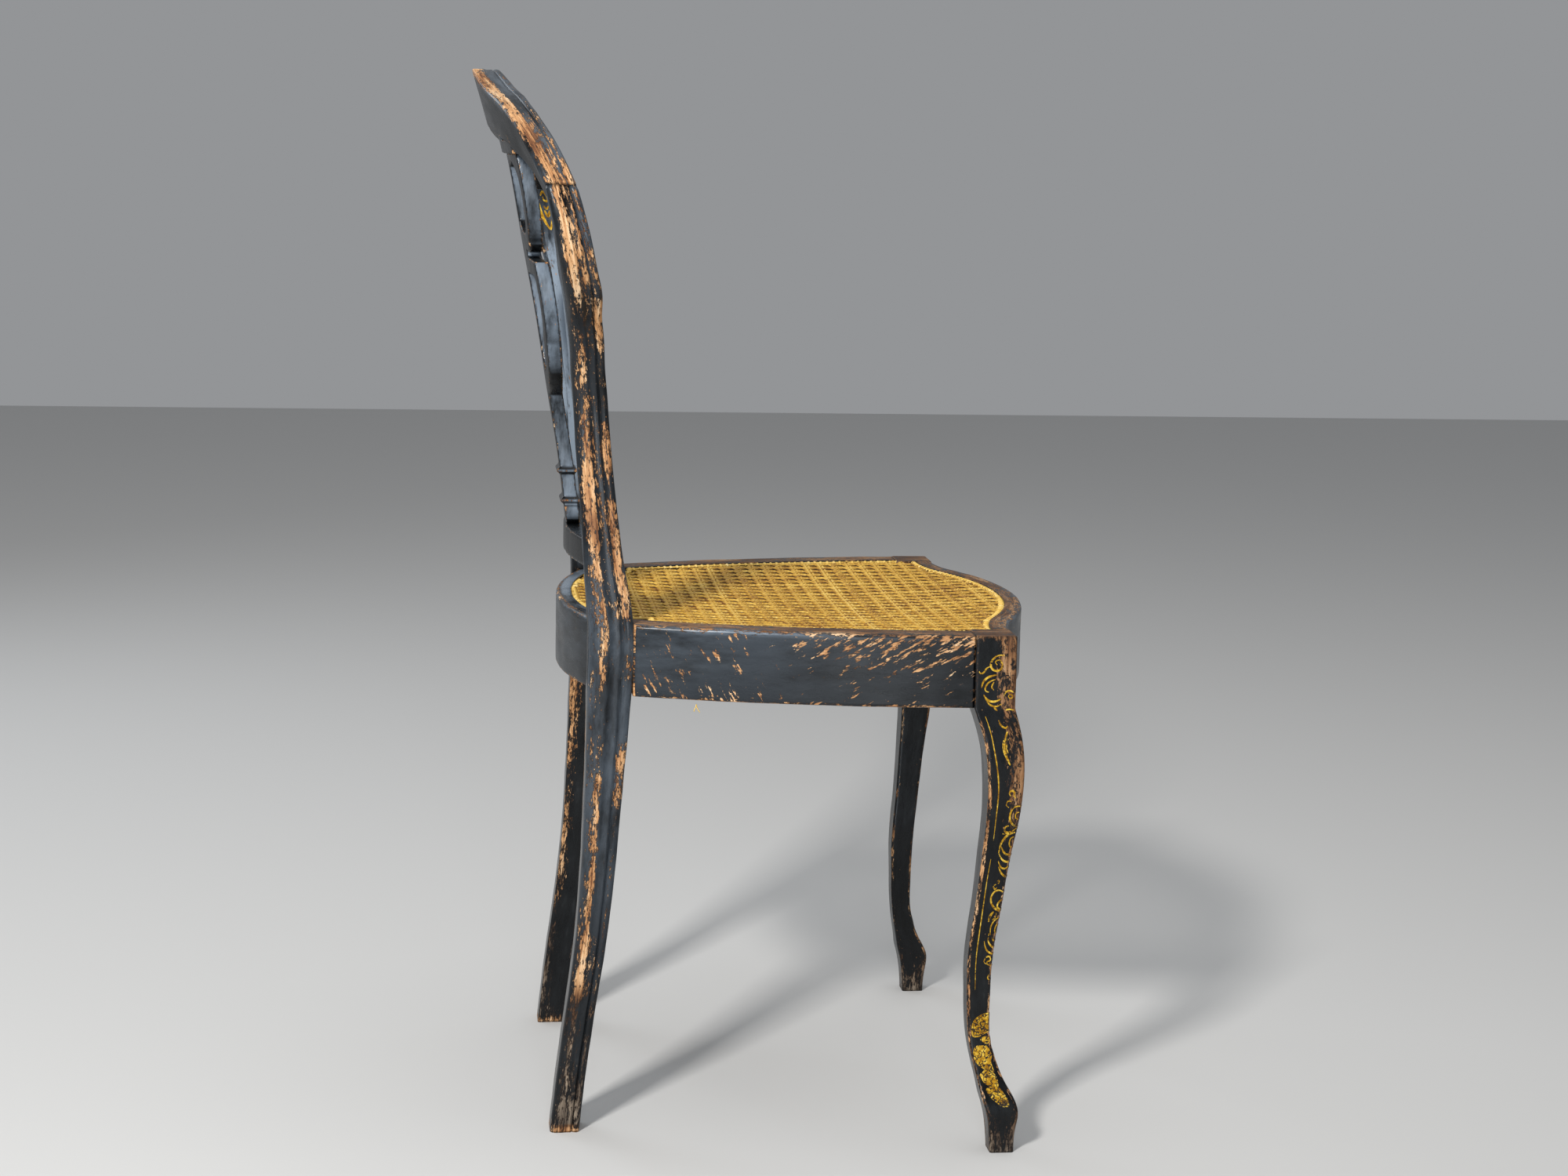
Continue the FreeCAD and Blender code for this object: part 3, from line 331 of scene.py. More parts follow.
def uneven(point):
    """Point moved a little, as hand-worked wood is never quite true, but kept inside the solids' box."""
    moved = Vector(point) + noise.noise_vector(Vector(point) * UNEVEN_SCALE) * UNEVEN
    return Vector(np.clip(moved, *cad_box))


def roughen(rings):
    return np.array([uneven(point) for point in rings.reshape(-1, 3)]).reshape(rings.shape)


# Materials

class Shader:
    """Material being built, with short ways to add shader nodes and to link or set their sockets."""

    def __init__(self, name):
        self.material = bpy.data.materials.new(name)
        self.material.use_nodes = True
        self.tree = self.material.node_tree

    def feed(self, made, inputs):
        for key, value in inputs.items():
            socket = made.inputs[key]
            if isinstance(value, bpy.types.NodeSocket):
                self.tree.links.new(value, socket)
            else:
                socket.default_value = value

    def node(self, kind, inputs, **settings):
        made = self.tree.nodes.new(kind)
        for key, value in settings.items():
            setattr(made, key, value)
        self.feed(made, inputs)
        return made

    def over_uv(self):
        return self.node("ShaderNodeUVMap", {}, uv_map="surface").outputs[0]

    def in_space(self):
        return self.node("ShaderNodeTexCoord", {}).outputs["Object"]

    def attribute(self, name):
        return self.node("ShaderNodeAttribute", {}, attribute_name=name).outputs["Fac"]

    def math(self, operation, *values):
        return self.node("ShaderNodeMath", dict(enumerate(values)), operation=operation).outputs[0]

    def add_up(self, value, *terms):
        """Sum of a value and of terms, each a socket with its share."""
        for term, share in terms:
            value = self.math("MULTIPLY_ADD", term, share, value)
        return value

    def noise(self, place, scale, detail=4.0, roughness=0.55, shift=0.0, stretch=(1, 1, 1), turn=0.0):
        """Noise with scale features per metre; stretch squeezes them along the axes after the turn."""
        for change in ({"Rotation": (0, 0, turn)}, {"Scale": stretch, "Location": (shift, shift, shift)}):
            place = self.node("ShaderNodeMapping", {"Vector": place, **change}).outputs[0]
        inputs = {"Vector": place, "Scale": scale, "Detail": detail, "Roughness": roughness}
        return self.node("ShaderNodeTexNoise", inputs).outputs["Fac"]

    def ramp(self, factor, stops):
        made = self.node("ShaderNodeValToRGB", {0: factor})
        elements = made.color_ramp.elements
        while len(elements) < len(stops):
            elements.new(0.5)
        for element, (place, colour) in zip(elements, stops):
            element.position = place
            element.color = (*colour, 1)
        return made.outputs[0]

    def step(self, value, low, high):
        """Smooth step from 0 at low to 1 at high."""
        inputs = {"Value": value, "From Min": low, "From Max": high}
        return self.node("ShaderNodeMapRange", inputs, interpolation_type="SMOOTHSTEP").outputs[0]

    def mix_colour(self, factor, first, second):
        return self.node("ShaderNodeMix", {0: factor, 6: first, 7: second}, data_type="RGBA").outputs[2]

    def mix_value(self, factor, first, second):
        return self.node("ShaderNodeMix", {0: factor, 2: first, 3: second}).outputs[0]

    def finish(self, inputs, height=None, strength=1.0, distance=0.0):
        """Feeds the surface by the names of its sockets, with a bump where a height is given."""
        if height is not None:
            bump = self.node("ShaderNodeBump", {"Height": height, "Strength": strength, "Distance": distance})
            inputs["Normal"] = bump.outputs[0]
        self.feed(self.tree.nodes["Principled BSDF"], inputs)
        return self.material


# Scale, detail, roughness and shift of each noise in the paint and the wood under it
PAINT_NOISES = {
    "chips": (260.0, 12.0, 0.78, 0.0),
    "broad": (62.0, 3.0, 0.55, 7.7),
    "flecks": (620.0, 4.0, 0.75, 3.1),
    "islands": (480.0, 5.0, 0.7, 6.6),
    "specks": (620.0, 2.0, 0.55, 4.4),
    "stain": (60.0, 4.0, 0.55, 5.9),
    "pits": (520.0, 4.0, 0.7, 6.3),
    "dust": (90.0, 7.0, 0.72, 9.2),
    "cloud": (38.0, 6.0, 0.65, 0.7),
    "cracks": (900.0, 3.0, 0.55, 2.2),
    "swell": (120.0, 2.0, 0.55, 8.1),
}
GRAIN_NOISE = (420.0, 5.0, 0.6, 1.3)
# Stretch of the noises and of the grain, over a uv layer and through space
UV_STRETCH = ((1, 0.27, 1), (1, 0.05, 1))
SPACE_STRETCH = ((1, 1, 0.3), (1, 1, 0.06))
# Layer that strengthens them, turn in degrees and scale of the long scratches and of the chafed chips
STREAKS = [("scratch", -30, 255.0), ("chafe", 62, 215.0)]
STREAK_STRETCH = (1, 0.22, 1)
# Limits of the smooth steps: paint gone, its darker rim, whole paint left inside, specks, streaks, pits, painted
# sheen patches
CHIP_LIMITS = (1.60, 1.63)
RIM_LIMITS = (1.53, 1.60)
ISLAND_LIMITS = (0.60, 0.57)
SPECK_LIMITS = (0.78, 0.80)
STREAK_LIMITS = (0.830, 0.850)
PIT_LIMITS = (0.60, 0.66)
SHEEN_PATCH_LIMITS = (0.32, 0.62)
BROWN_WOOD = [(0.42, (0.12, 0.045, 0.016)), (0.49, (0.33, 0.155, 0.060)), (0.56, (0.50, 0.275, 0.125)),
              (0.66, (0.70, 0.49, 0.30))]
AGED_WOOD = [(0.40, (0.030, 0.013, 0.005)), (0.50, (0.090, 0.040, 0.016)), (0.64, (0.24, 0.130, 0.062))]
DUSTY_WOOD = [(0.40, (0.030, 0.025, 0.020)), (0.50, (0.095, 0.080, 0.062)), (0.64, (0.25, 0.22, 0.175))]
BLACK_PAINT = [(0.36, (0.0016, 0.0020, 0.0025)), (0.58, (0.0045, 0.0054, 0.0063)),
               (0.78, (0.022, 0.025, 0.027))]
PIT_COLOUR = (0.045, 0.020, 0.010, 1)
RIM_COLOUR = (0.020, 0.011, 0.007, 1)
# Painted blue-grey sheen that stands for the lamps' reflection in the gloss, full where the sheen value is 1 or
# more
PAINTED_SHEEN_COLOUR = (0.19, 0.235, 0.29, 1)


def painted_wood(name, scratches=False, solid=False):
    """Black paint, worn through to bare wood in ragged chips where the wear value is high.

    solid is for pieces without a uv layer, whose noise runs through space.
    """
    paint = Shader(name)
    place = paint.in_space() if solid else paint.over_uv()
    grainy, fibre = SPACE_STRETCH if solid else UV_STRETCH
    noises = {key: paint.noise(place, *values, grainy) for key, values in PAINT_NOISES.items()}
    grain = paint.noise(place, *GRAIN_NOISE, fibre)
    wear = paint.attribute("wear")
    worn = paint.add_up(wear, (noises["chips"], 1.15), (noises["broad"], 0.45), (noises["flecks"], 0.60))
    bare = paint.math("MULTIPLY", paint.step(worn, *CHIP_LIMITS), paint.step(noises["islands"], *ISLAND_LIMITS))
    specks = paint.add_up(noises["specks"], (wear, 0.24))
    bare = paint.math("MAXIMUM", bare, paint.step(specks, *SPECK_LIMITS))
    for layer, turn, scale in (STREAKS if scratches else []):
        streaks = paint.noise(place, scale, 7.0, 0.66, stretch=STREAK_STRETCH, turn=math.radians(turn))
        streaks = paint.add_up(streaks, (paint.attribute(layer), 0.20), (noises["flecks"], 0.20))
        bare = paint.math("MAXIMUM", bare, paint.step(streaks, *STREAK_LIMITS))
    tone = paint.add_up(paint.math("MULTIPLY", noises["stain"], 0.5), (grain, 0.55))
    pits = paint.step(noises["pits"], *PIT_LIMITS)
    wood = paint.mix_colour(pits, paint.ramp(tone, BROWN_WOOD), PIT_COLOUR)
    patina = paint.attribute("patina")
    for age, stops in enumerate((AGED_WOOD, DUSTY_WOOD)):
        wood = paint.mix_colour(paint.step(patina, age, age + 1), wood, paint.ramp(tone, stops))
    # Painted sheen: the black paint lightened to blue-grey in cloudy patches, standing for reflected light
    sheen_patches = paint.math("MULTIPLY", paint.attribute("painted_sheen"), paint.step(noises["cloud"], *SHEEN_PATCH_LIMITS))
    black = paint.mix_colour(sheen_patches, paint.ramp(noises["dust"], BLACK_PAINT), PAINTED_SHEEN_COLOUR)
    edged = paint.mix_colour(paint.step(worn, *RIM_LIMITS), black, RIM_COLOUR)
    gloss = paint.add_up(0.10, (noises["dust"], 0.36))
    matt = paint.add_up(0.40, (grain, 0.25))
    height = paint.add_up(1.0, (bare, -1.0), (noises["cracks"], 0.07), (noises["swell"], 0.25),
                          (paint.math("MULTIPLY", grain, bare), 0.3))
    inputs = {"Base Color": paint.mix_colour(bare, edged, wood), "Roughness": paint.mix_value(bare, gloss, matt),
              "Specular IOR Level": 0.23}
    return paint.finish(inputs, height, 0.7, 0.0005)


def bare_wood(name):
    wood = Shader(name)
    grain = wood.noise(wood.in_space(), 160.0, 5.0, stretch=(1, 0.08, 1))
    colour = wood.ramp(grain, [(0.3, (0.20, 0.10, 0.045)), (0.7, (0.40, 0.23, 0.11))])
    return wood.finish({"Base Color": colour, "Roughness": 0.7}, grain, distance=0.0004)


GOLD = [(0.38, (0.22, 0.100, 0.003)), (0.52, (0.42, 0.235, 0.012)), (0.66, (0.66, 0.45, 0.07))]
GROUND_COLOUR = (0.018, 0.012, 0.008, 1)
RUBBED_LIMITS = (0.93, 0.98)
VEIN_LIMITS = (0.045, 0.022)


def gilt(name):
    """Rubbed gold leaf: gold where it holds, the black ground where it is worn."""
    leaf = Shader(name)
    place = leaf.in_space()
    broad = leaf.noise(place, 95.0, 2.0, shift=2.7)
    rubbed = leaf.add_up(leaf.noise(place, 620.0, 5.0, 0.7), (broad, 0.55), (leaf.attribute("wear"), 0.30))
    veins = leaf.math("ABSOLUTE", leaf.math("SUBTRACT", leaf.noise(place, 190.0, 2.0, shift=8.8), 0.5))
    veins = leaf.math("MULTIPLY", leaf.step(veins, *VEIN_LIMITS), leaf.attribute("vein"))
    gone = leaf.math("MAXIMUM", leaf.step(rubbed, *RUBBED_LIMITS), veins)
    gold = leaf.ramp(leaf.noise(place, 240.0, shift=5.1), GOLD)
    inputs = {"Base Color": leaf.mix_colour(gone, gold, GROUND_COLOUR), "Roughness": 0.45,
              "Metallic": leaf.mix_value(gone, 0.25, 0.0), "Specular IOR Level": 0.15}
    return leaf.finish(inputs, rubbed, 0.4, 0.0003)


RATTAN = [(0.30, (0.18, 0.070, 0.006)), (0.45, (0.42, 0.22, 0.020)), (0.58, (0.60, 0.36, 0.052)),
          (0.74, (0.74, 0.51, 0.125)), (0.95, (0.84, 0.68, 0.36))]
# Dark brown at the strands' edges: dirt there and painted shade in the gaps between strands
DIRT_AND_SHADE_COLOUR = (0.055, 0.022, 0.005, 1)
DIRT_AND_SHADE_LIMITS = (0.35, 0.95)


def cane_material(name):
    """Golden yellow rattan skin, darker at the strands' edges, partly with dirt and partly with painted shade
    between the strands.
    """
    cane = Shader(name)
    uv = cane.over_uv()
    fibres = cane.noise(uv, 1900.0, 3.0, stretch=(1, 0.03, 1))
    joints = cane.noise(uv, 300.0, 4.0, 0.7, 3.3, (0.3, 1, 1))
    stains = cane.noise(cane.in_space(), 34.0, 4.0, 0.65)
    tone = cane.add_up(cane.math("MULTIPLY", fibres, 0.34), (cane.attribute("tone"), 0.22), (joints, 0.32),
                       (stains, 0.38))
    dirt_and_shade = cane.step(cane.attribute("edge"), *DIRT_AND_SHADE_LIMITS)
    colour = cane.mix_colour(dirt_and_shade, cane.ramp(tone, RATTAN), DIRT_AND_SHADE_COLOUR)
    inputs = {"Base Color": colour, "Roughness": 0.50, "Specular IOR Level": 0.35}
    return cane.finish(inputs, fibres, 0.4, 0.0002)


# Moulded balloon-back hoop

RIDGE_SHARE = 0.42
COVE_SHARE = 0.74
CREST_COVE_SHARE = 0.4
# Height and share of the cove's full depth left there by wear
COVE_SHARES = [(0.0, 0.25), (0.14, 0.35), (0.24, 0.7), (0.34, 1.0), (0.56, 1.0), (0.70, 0.7), (0.80, 0.6)]
# How much fuller than the solid the crest's front is, from its joints (0) to its peak (1)
CREST_FULLNESS = [(0.0, 0.0), (0.25, 0.003), (0.5, 0.008), (0.75, 0.008), (1.0, 0.005)]
BEAD_SHARE = 0.45
BEAD_ROUND = ARRIS * 1.6
BACK_LEAN_RATIO = 0.29
# Share of the seat's height, of the splay, of the post's width and of its depth
LEG_SHARES = [
    (0.0, 1.0, 0.79, 0.66),
    (0.127, 0.83, 0.79, 0.657),
    (0.253, 0.615, 0.80, 0.665),
    (0.37, 0.415, 0.82, 0.70),
    (0.506, 0.255, 0.85, 0.757),
    (0.667, 0.135, 0.91, 0.838),
    (0.805, 0.045, 0.97, 0.93),
    (0.9, 0.0, 1.0, 1.0),
    (1.0, 0.0, 1.0, 1.0),
]
# From the seat up: shares of the height, the way in and the rake, and how far width and depth reach the hoop's
STILE_SHARES = [
    (0.107, 0.78, 0.09, 0.25, 0.25),
    (0.26, 0.40, 0.20, 0.60, 0.58),
    (0.40, 0.11, 0.30, 0.90, 0.68),
    (0.525, 0.0, 0.37, 1.0, 0.78),
]
# The same above the waist, where the way is outward and the width no longer changes
FLARE_SHARES = [
    (0.61, 0.043, 0.43, 0.84),
    (0.69, 0.149, 0.483, 0.87),
    (0.757, 0.305, 0.54, 0.87),
    (0.808, 0.50, 0.59, 0.87),
]
# Turn round the shoulder in degrees and share of the rake there
SHOULDER_SHARES = [(-45.0, 0.64), (-30.0, 0.70), (-12.0, 0.785), (5.0, 0.88)]
CREST_START_ANGLE = 46.0
CREST_START_SHARE = 0.115
# Share of the shoulder's half width, of the rise to the peak, and how far height and depth reach the peak's
CREST_SHARES = [
    (0.769, 0.343, 0.345, 0.38),
    (0.538, 0.642, 0.49, 0.645),
    (0.267, 0.846, 0.695, 0.86),
    (0.0, 1.0, 1.0, 1.0),
]

# Height above the floor and wear there of the hoop's ridge, its cove, its front bead and its inner rear corner
RIDGE_WEAR = [
    (0.0, 0.57), (0.05, 0.55), (0.10, 0.48), (0.112, 0.46), (0.125, 0.65), (0.168, 0.66), (0.180, 0.50),
    (0.192, 0.58), (0.228, 0.58), (0.238, 0.44), (0.258, 0.56), (0.306, 0.56), (0.318, 0.40), (0.362, 0.34),
    (0.376, 0.42), (0.430, 0.53), (0.468, 0.54), (0.500, 0.58), (0.512, 0.70), (0.558, 0.70), (0.568, 0.55),
    (0.604, 0.54), (0.612, 0.46), (0.630, 0.46), (0.638, 0.56), (0.676, 0.55), (0.686, 0.44), (0.704, 0.48),
    (0.718, 0.66), (0.883, 0.66),
]
COVE_WEAR = [
    (0.0, 0.48), (0.06, 0.42), (0.11, 0.30), (0.12, 0.48), (0.17, 0.48), (0.18, 0.26), (0.36, 0.24),
    (0.44, 0.36), (0.56, 0.42), (0.69, 0.42), (0.72, 0.48), (0.80, 0.52),
]
BEAD_WEAR = [
    (0.0, 0.54), (0.06, 0.50), (0.10, 0.44), (0.20, 0.40), (0.276, 0.40), (0.286, 0.60), (0.334, 0.60),
    (0.344, 0.32), (0.382, 0.32), (0.388, 0.46), (0.404, 0.46), (0.412, 0.40), (0.436, 0.46), (0.444, 0.60),
    (0.530, 0.59), (0.537, 0.46), (0.555, 0.46), (0.562, 0.60), (0.590, 0.59), (0.600, 0.44), (0.658, 0.44),
    (0.666, 0.60), (0.700, 0.58), (0.712, 0.50), (0.810, 0.52), (0.840, 0.38), (0.883, 0.34),
]
INNER_WEAR = [
    (0.0, 0.50), (0.058, 0.50), (0.066, 0.42), (0.074, 0.50), (0.092, 0.50), (0.104, 0.38), (0.120, 0.46),
    (0.225, 0.50), (0.236, 0.42), (0.258, 0.50), (0.275, 0.55), (0.355, 0.55), (0.372, 0.34), (0.883, 0.34),
]
# Height above the floor and strength of the painted sheen on a post's outer half, and of the painted reflection
# on its inner half
RIDGE_SHEEN = [(0.0, 0.0), (0.16, 0.05), (0.26, 0.22), (0.44, 0.25), (0.50, 0.05), (0.70, 0.05), (0.76, 0.25)]
STILE_SHEEN = [(0.435, 0.0), (0.50, 1.2), (0.56, 2.0), (0.72, 2.0), (0.745, 0.3), (0.883, 0.1)]
# Height and age of the bare wood: 1 is brown, 2 grey with dust
POST_PATINA = [(0.0, 0.2), (0.004, 0.4), (0.008, 1.7), (0.09, 1.5), (0.135, 0.2), (0.20, 0.0)]
# Wear of a foot's end and its fall per metre of height
FOOT_WEAR = 0.60
FOOT_WEAR_FALL = 18
# Wear above which no painted sheen shows, and its growth per metre away from the middle of the section
SHEEN_WEAR_LIMIT = 0.36
SHEEN_SPREAD = 90
# Strength of the painted sheen along the crest's top
CREST_TOP_SHEEN = 0.35
POST_RINGS = 420
CREST_RINGS = 260
PEAK_FLAT_WEAR = 0.48
PEAK_COVE_WEAR = 0.16
shoulder_centre_x = SHOULDER_HALF - SHOULDER_RADIUS
shoulder_span = SHOULDER_HEIGHT - SEAT_HEIGHT


def table_value(table, place):
    """Value between a table's rows at a place, or at each of an array of places."""
    return np.interp(place, *zip(*table))


def shoulder_point(angle):
    turn = math.radians(angle)
    return (shoulder_centre_x + SHOULDER_RADIUS * math.cos(turn),
            SHOULDER_HEIGHT + SHOULDER_RADIUS * math.sin(turn))


joint_x, joint_z = shoulder_point(JOINT_ANGLE)
joint_y = post_y + BACK_RAKE
joint_turn = math.radians(JOINT_ANGLE)


def back_y(x, z):
    return joint_y + BACK_LEAN_RATIO * (z - joint_z) + (joint_x ** 2 - x * x) / (2 * BACK_RADIUS)


def post_stations():
    """Rows of x, y, z, width and depth from the floor to the crest joint."""
    rows = []

    def put(x, lean, z, width, depth):
        rows.append((x, post_y + lean, z, width, depth))

    for height, splay, width, depth in LEG_SHARES:
        put(POST_X, LEG_SPLAY * splay, SEAT_HEIGHT * height, POST_WIDTH * width, POST_DEPTH * depth)
    for height, inward, rake, slim, shallow in STILE_SHARES:
        put(mix(WAIST_HALF, POST_X, inward), BACK_RAKE * rake, SEAT_HEIGHT + shoulder_span * height,
            mix(POST_WIDTH, HOOP_WIDTH, slim), mix(POST_DEPTH, HOOP_DEPTH, shallow))
    for height, outward, rake, shallow in FLARE_SHARES:
        put(mix(WAIST_HALF, SHOULDER_HALF, outward), BACK_RAKE * rake, SEAT_HEIGHT + shoulder_span * height,
            HOOP_WIDTH, mix(POST_DEPTH, HOOP_DEPTH, shallow))
    for angle, rake in SHOULDER_SHARES:
        x, z = shoulder_point(angle)
        put(x, BACK_RAKE * rake, z, HOOP_WIDTH, mix(POST_DEPTH, HOOP_DEPTH, rake))
    return rows + [(joint_x, joint_y, joint_z, HOOP_WIDTH, HOOP_DEPTH)]


def crest_stations():
    """Rows of x, y, z, height and depth from the joint on the left to the peak."""
    rows = [(joint_x, joint_y, joint_z, HOOP_WIDTH, HOOP_DEPTH)]

    def put(x, z, tall, thin):
        rows.append((x, back_y(x, z), z, mix(HOOP_WIDTH, CREST_RISE, tall), mix(HOOP_DEPTH, CREST_DEPTH, thin)))

    start_x, start_z = shoulder_point(CREST_START_ANGLE)
    put(start_x, start_z, CREST_START_SHARE, CREST_START_SHARE)
    peak_z = CREST_HEIGHT - CREST_RISE / 2
    for across, rise, tall, thin in CREST_SHARES:
        put(SHOULDER_HALF * across, mix(start_z, peak_z, rise), tall, thin)
    return rows


def oval_points(centre, radius_across, radius_forward, from_angle, to_angle, steps):
    """Points of a part of an oval in the plane across and forward of the hoop's section."""
    points = []
    for step in range(steps + 1):
        turn = math.radians(mix(from_angle, to_angle, step / steps))
        points.append((centre[0] + radius_across * math.cos(turn), centre[1] + radius_forward * math.sin(turn)))
    return points


def hoop_profile(width, depth, way, z):
    """Points (across, forward, wear) round the hoop: rounded back, ridge, cove and front bead outside.

    way is 0 on the posts and grows to 1 at the crest's peak, where only the rear edge of the top is worn.
    """
    tables = (RIDGE_WEAR, COVE_WEAR, BEAD_WEAR, INNER_WEAR)
    ridge, cove, bead, inner = (table_value(table, z) for table in tables)
    half = width / 2
    back, fore = -depth / 2, depth / 2 + table_value(CREST_FULLNESS, way)
    round_off = mix(BACK_ROUND * depth / POST_DEPTH, CREST_ROUND, way)
    depth = fore - back
    ridge_from = back + round_off
    ridge_to = back + depth * RIDGE_SHARE
    cove_end = back + depth * COVE_SHARE
    cove_depth = COVE_DEPTH * mix(table_value(COVE_SHARES, z), CREST_COVE_SHARE, limited(way * 3))
    bead_middle = half - cove_depth * BEAD_SHARE - BEAD_ROUND
    flat = mix(ridge, PEAK_FLAT_WEAR, limited((way - 0.6) * 2.5))
    cove = mix(cove, PEAK_COVE_WEAR, limited((way - 0.12) * 2.4))
    points = []

    def put(pairs, *wear):
        """Adds points, with the wear values spread evenly over them."""
        shares = np.linspace(0, 1, max(len(pairs), 2))
        for share, (across, forward) in zip(shares, pairs):
            points.append((across, forward, float(np.interp(share, np.linspace(0, 1, len(wear)), wear))))

    put(oval_points((ARRIS - half, back + ARRIS), ARRIS, ARRIS, 180, 270, 3), inner, inner - 0.08)
    put([(mix(-half, half, share), back) for share in (0.2, 0.4, 0.6, 0.8)],
        mix(0.16, inner, 0.7), 0.14, 0.14, mix(0.16, 0.34, way))
    put(oval_points((half - round_off, back + round_off), round_off, round_off, -90, 0, 8),
        mix(0.18, ridge, way), mix(0.34, ridge, way), mix(0.42, ridge, way), mix(ridge - 0.08, ridge, way))
    put([(half, mix(ridge_from, ridge_to, share)) for share in (0.25, 0.5, 0.75)], mix(ridge, flat, 0.2), flat)
    put([(half, ridge_to), (half - cove_depth * 0.3, mix(ridge_to, cove_end, 0.10))],
        mix(flat, cove, 0.4), cove)
    put([(half - cove_depth * math.sin(math.pi * mix(0.14, 0.80, share)), mix(ridge_to, cove_end, share))
         for share in (0.22, 0.34, 0.46, 0.60, 0.74, 0.88)], cove)
    put(oval_points((bead_middle, mix(cove_end, fore, 0.5)), BEAD_ROUND, (fore - cove_end) / 2, -84, 84, 8),
        bead - 0.16, bead, bead - 0.02, bead - 0.16)
    put([(mix(bead_middle, -half, share), fore) for share in (0.15, 0.3, 0.5, 0.7)], 0.18)
    put(oval_points((ARRIS - half, fore - ARRIS), ARRIS, ARRIS, 90, 180, 3), 0.40)
    put([(-half, mix(fore, back, share)) for share in (0.25, 0.5, 0.66, 0.85)],
        0.10, 0.10, mix(0.10, inner, 0.75), inner)
    return points


def hoop_rings(rows, count, first_outward, last_outward, plumb_below=None):
    """Rings of points and wear values along a hoop member."""
    dense = spline_rows(rows, count)
    along = np.gradient(dense[:, :3], axis=0)
    rings = []
    wears = []
    for index, (x, y, z, width, depth) in enumerate(dense):
        outward = Vector((along[index][2], 0, -along[index][0])).normalized()
        if plumb_below is not None:
            blend = limited((z - plumb_below) / (BLOCK_SIZE * 1.5))
            outward = Vector((1, 0, 0)).lerp(outward, blend).normalized()
        if index == 0:
            outward = first_outward
        if index == count - 1:
            outward = last_outward
        way = 0 if plumb_below is not None else max(1 - abs(x) / joint_x, 0)
        profile = hoop_profile(width, depth, way, z)
        rings.append([(x + outward.x * across, y + BACK_LEAN_RATIO * across * outward.z - forward,
                       z + outward.z * across) for across, forward, _ in profile])
        wears.append([wear for _, _, wear in profile])
    return np.array(rings), np.array(wears)


JOINT_OUTWARD = Vector((math.cos(joint_turn), 0, math.sin(joint_turn)))


def groove_end(rings, index):
    """Draws the last ring of a member in, so that its joint shows as a fine seam."""
    middle = rings[index].mean(axis=0)
    reach = np.linalg.norm(rings[index] - middle, axis=1, keepdims=True)
    rings[index] = middle + (rings[index] - middle) * (1 - JOINT_GROOVE / reach)


# Where the uv of each side starts in metres, so that the two sides' chips differ
UV_STARTS = {-1: 0.0, 1: 3.7}
CREST_UV_START = 1.85


def add_posts(material):
    for side, sign in SIDES:
        rings, wears = hoop_rings(post_stations(), POST_RINGS, Vector((1, 0, 0)), JOINT_OUTWARD, SEAT_HEIGHT)
        rings[:, :, 0] *= sign
        rings[1:-1] = roughen(rings[1:-1])
        groove_end(rings, -1)
        rings = rings[:, ::-sign]
        heights = rings[:, :, 2]
        wears = np.maximum(wears[:, ::-sign], FOOT_WEAR - heights * FOOT_WEAR_FALL)
        # Painted light: a bright blue-grey reflection on the stiles' inner faces and a softer sheen along the
        # outer ridge
        reach = rings[:, :, 0] - rings.mean(axis=1)[:, None, 0]
        unworn = np.clip((wears < SHEEN_WEAR_LIMIT) * np.abs(reach) * SHEEN_SPREAD, 0, 1)
        sheen_values = np.where(reach * sign < 0, unworn * table_value(STILE_SHEEN, heights),
                         table_value(RIDGE_SHEEN, heights))
        layers = {"wear": wears, "patina": table_value(POST_PATINA, heights), "painted_sheen": sheen_values}
        name = side + "_back_post"
        finish_piece(sweep(name + "_wood", rings, layers, UV_STARTS[sign]), material, name)


def add_crest(material):
    rows = crest_stations()
    other = [(-x, y, z, width, depth) for x, y, z, width, depth in rows[-2::-1]]
    last = Vector((-JOINT_OUTWARD.x, 0, JOINT_OUTWARD.z))
    rings, wears = hoop_rings(rows + other, CREST_RINGS, JOINT_OUTWARD, last)
    rings[1:-1] = roughen(rings[1:-1])
    groove_end(rings, 0)
    groove_end(rings, -1)
    # Painted sheen on the points along the crest's top, where the gloss catches the light
    on_top = rings[:, :, 2] > rings[:, :, 2].max(axis=1, keepdims=True) - CREST_ROUND * 2
    layers = {"wear": wears[:, ::-1], "painted_sheen": CREST_TOP_SHEEN * on_top[:, ::-1]}
    finish_piece(sweep("crest_rail_wood", rings[:, ::-1], layers, CREST_UV_START), material, "crest_rail")


# Splat, its head block and the cross rail, worn soft from the solids' own forms

VOXEL = 0.0011
SOFTEN_TURNS = 3
SOFTEN_FACTOR = 0.5
CURVE_WEAR = 0.42
FLAT_WEAR = 0.16
BEND_GAIN = 2.2
# Strength of the painted sheen on faces that look sideways
SIDE_SHEEN = 0.72
# How far a face has to look sideways before it gets the painted sheen
SIDE_FACING = {"splat": 0.75, "splat_head_block": 0.2, "cross_rail": 0.75}


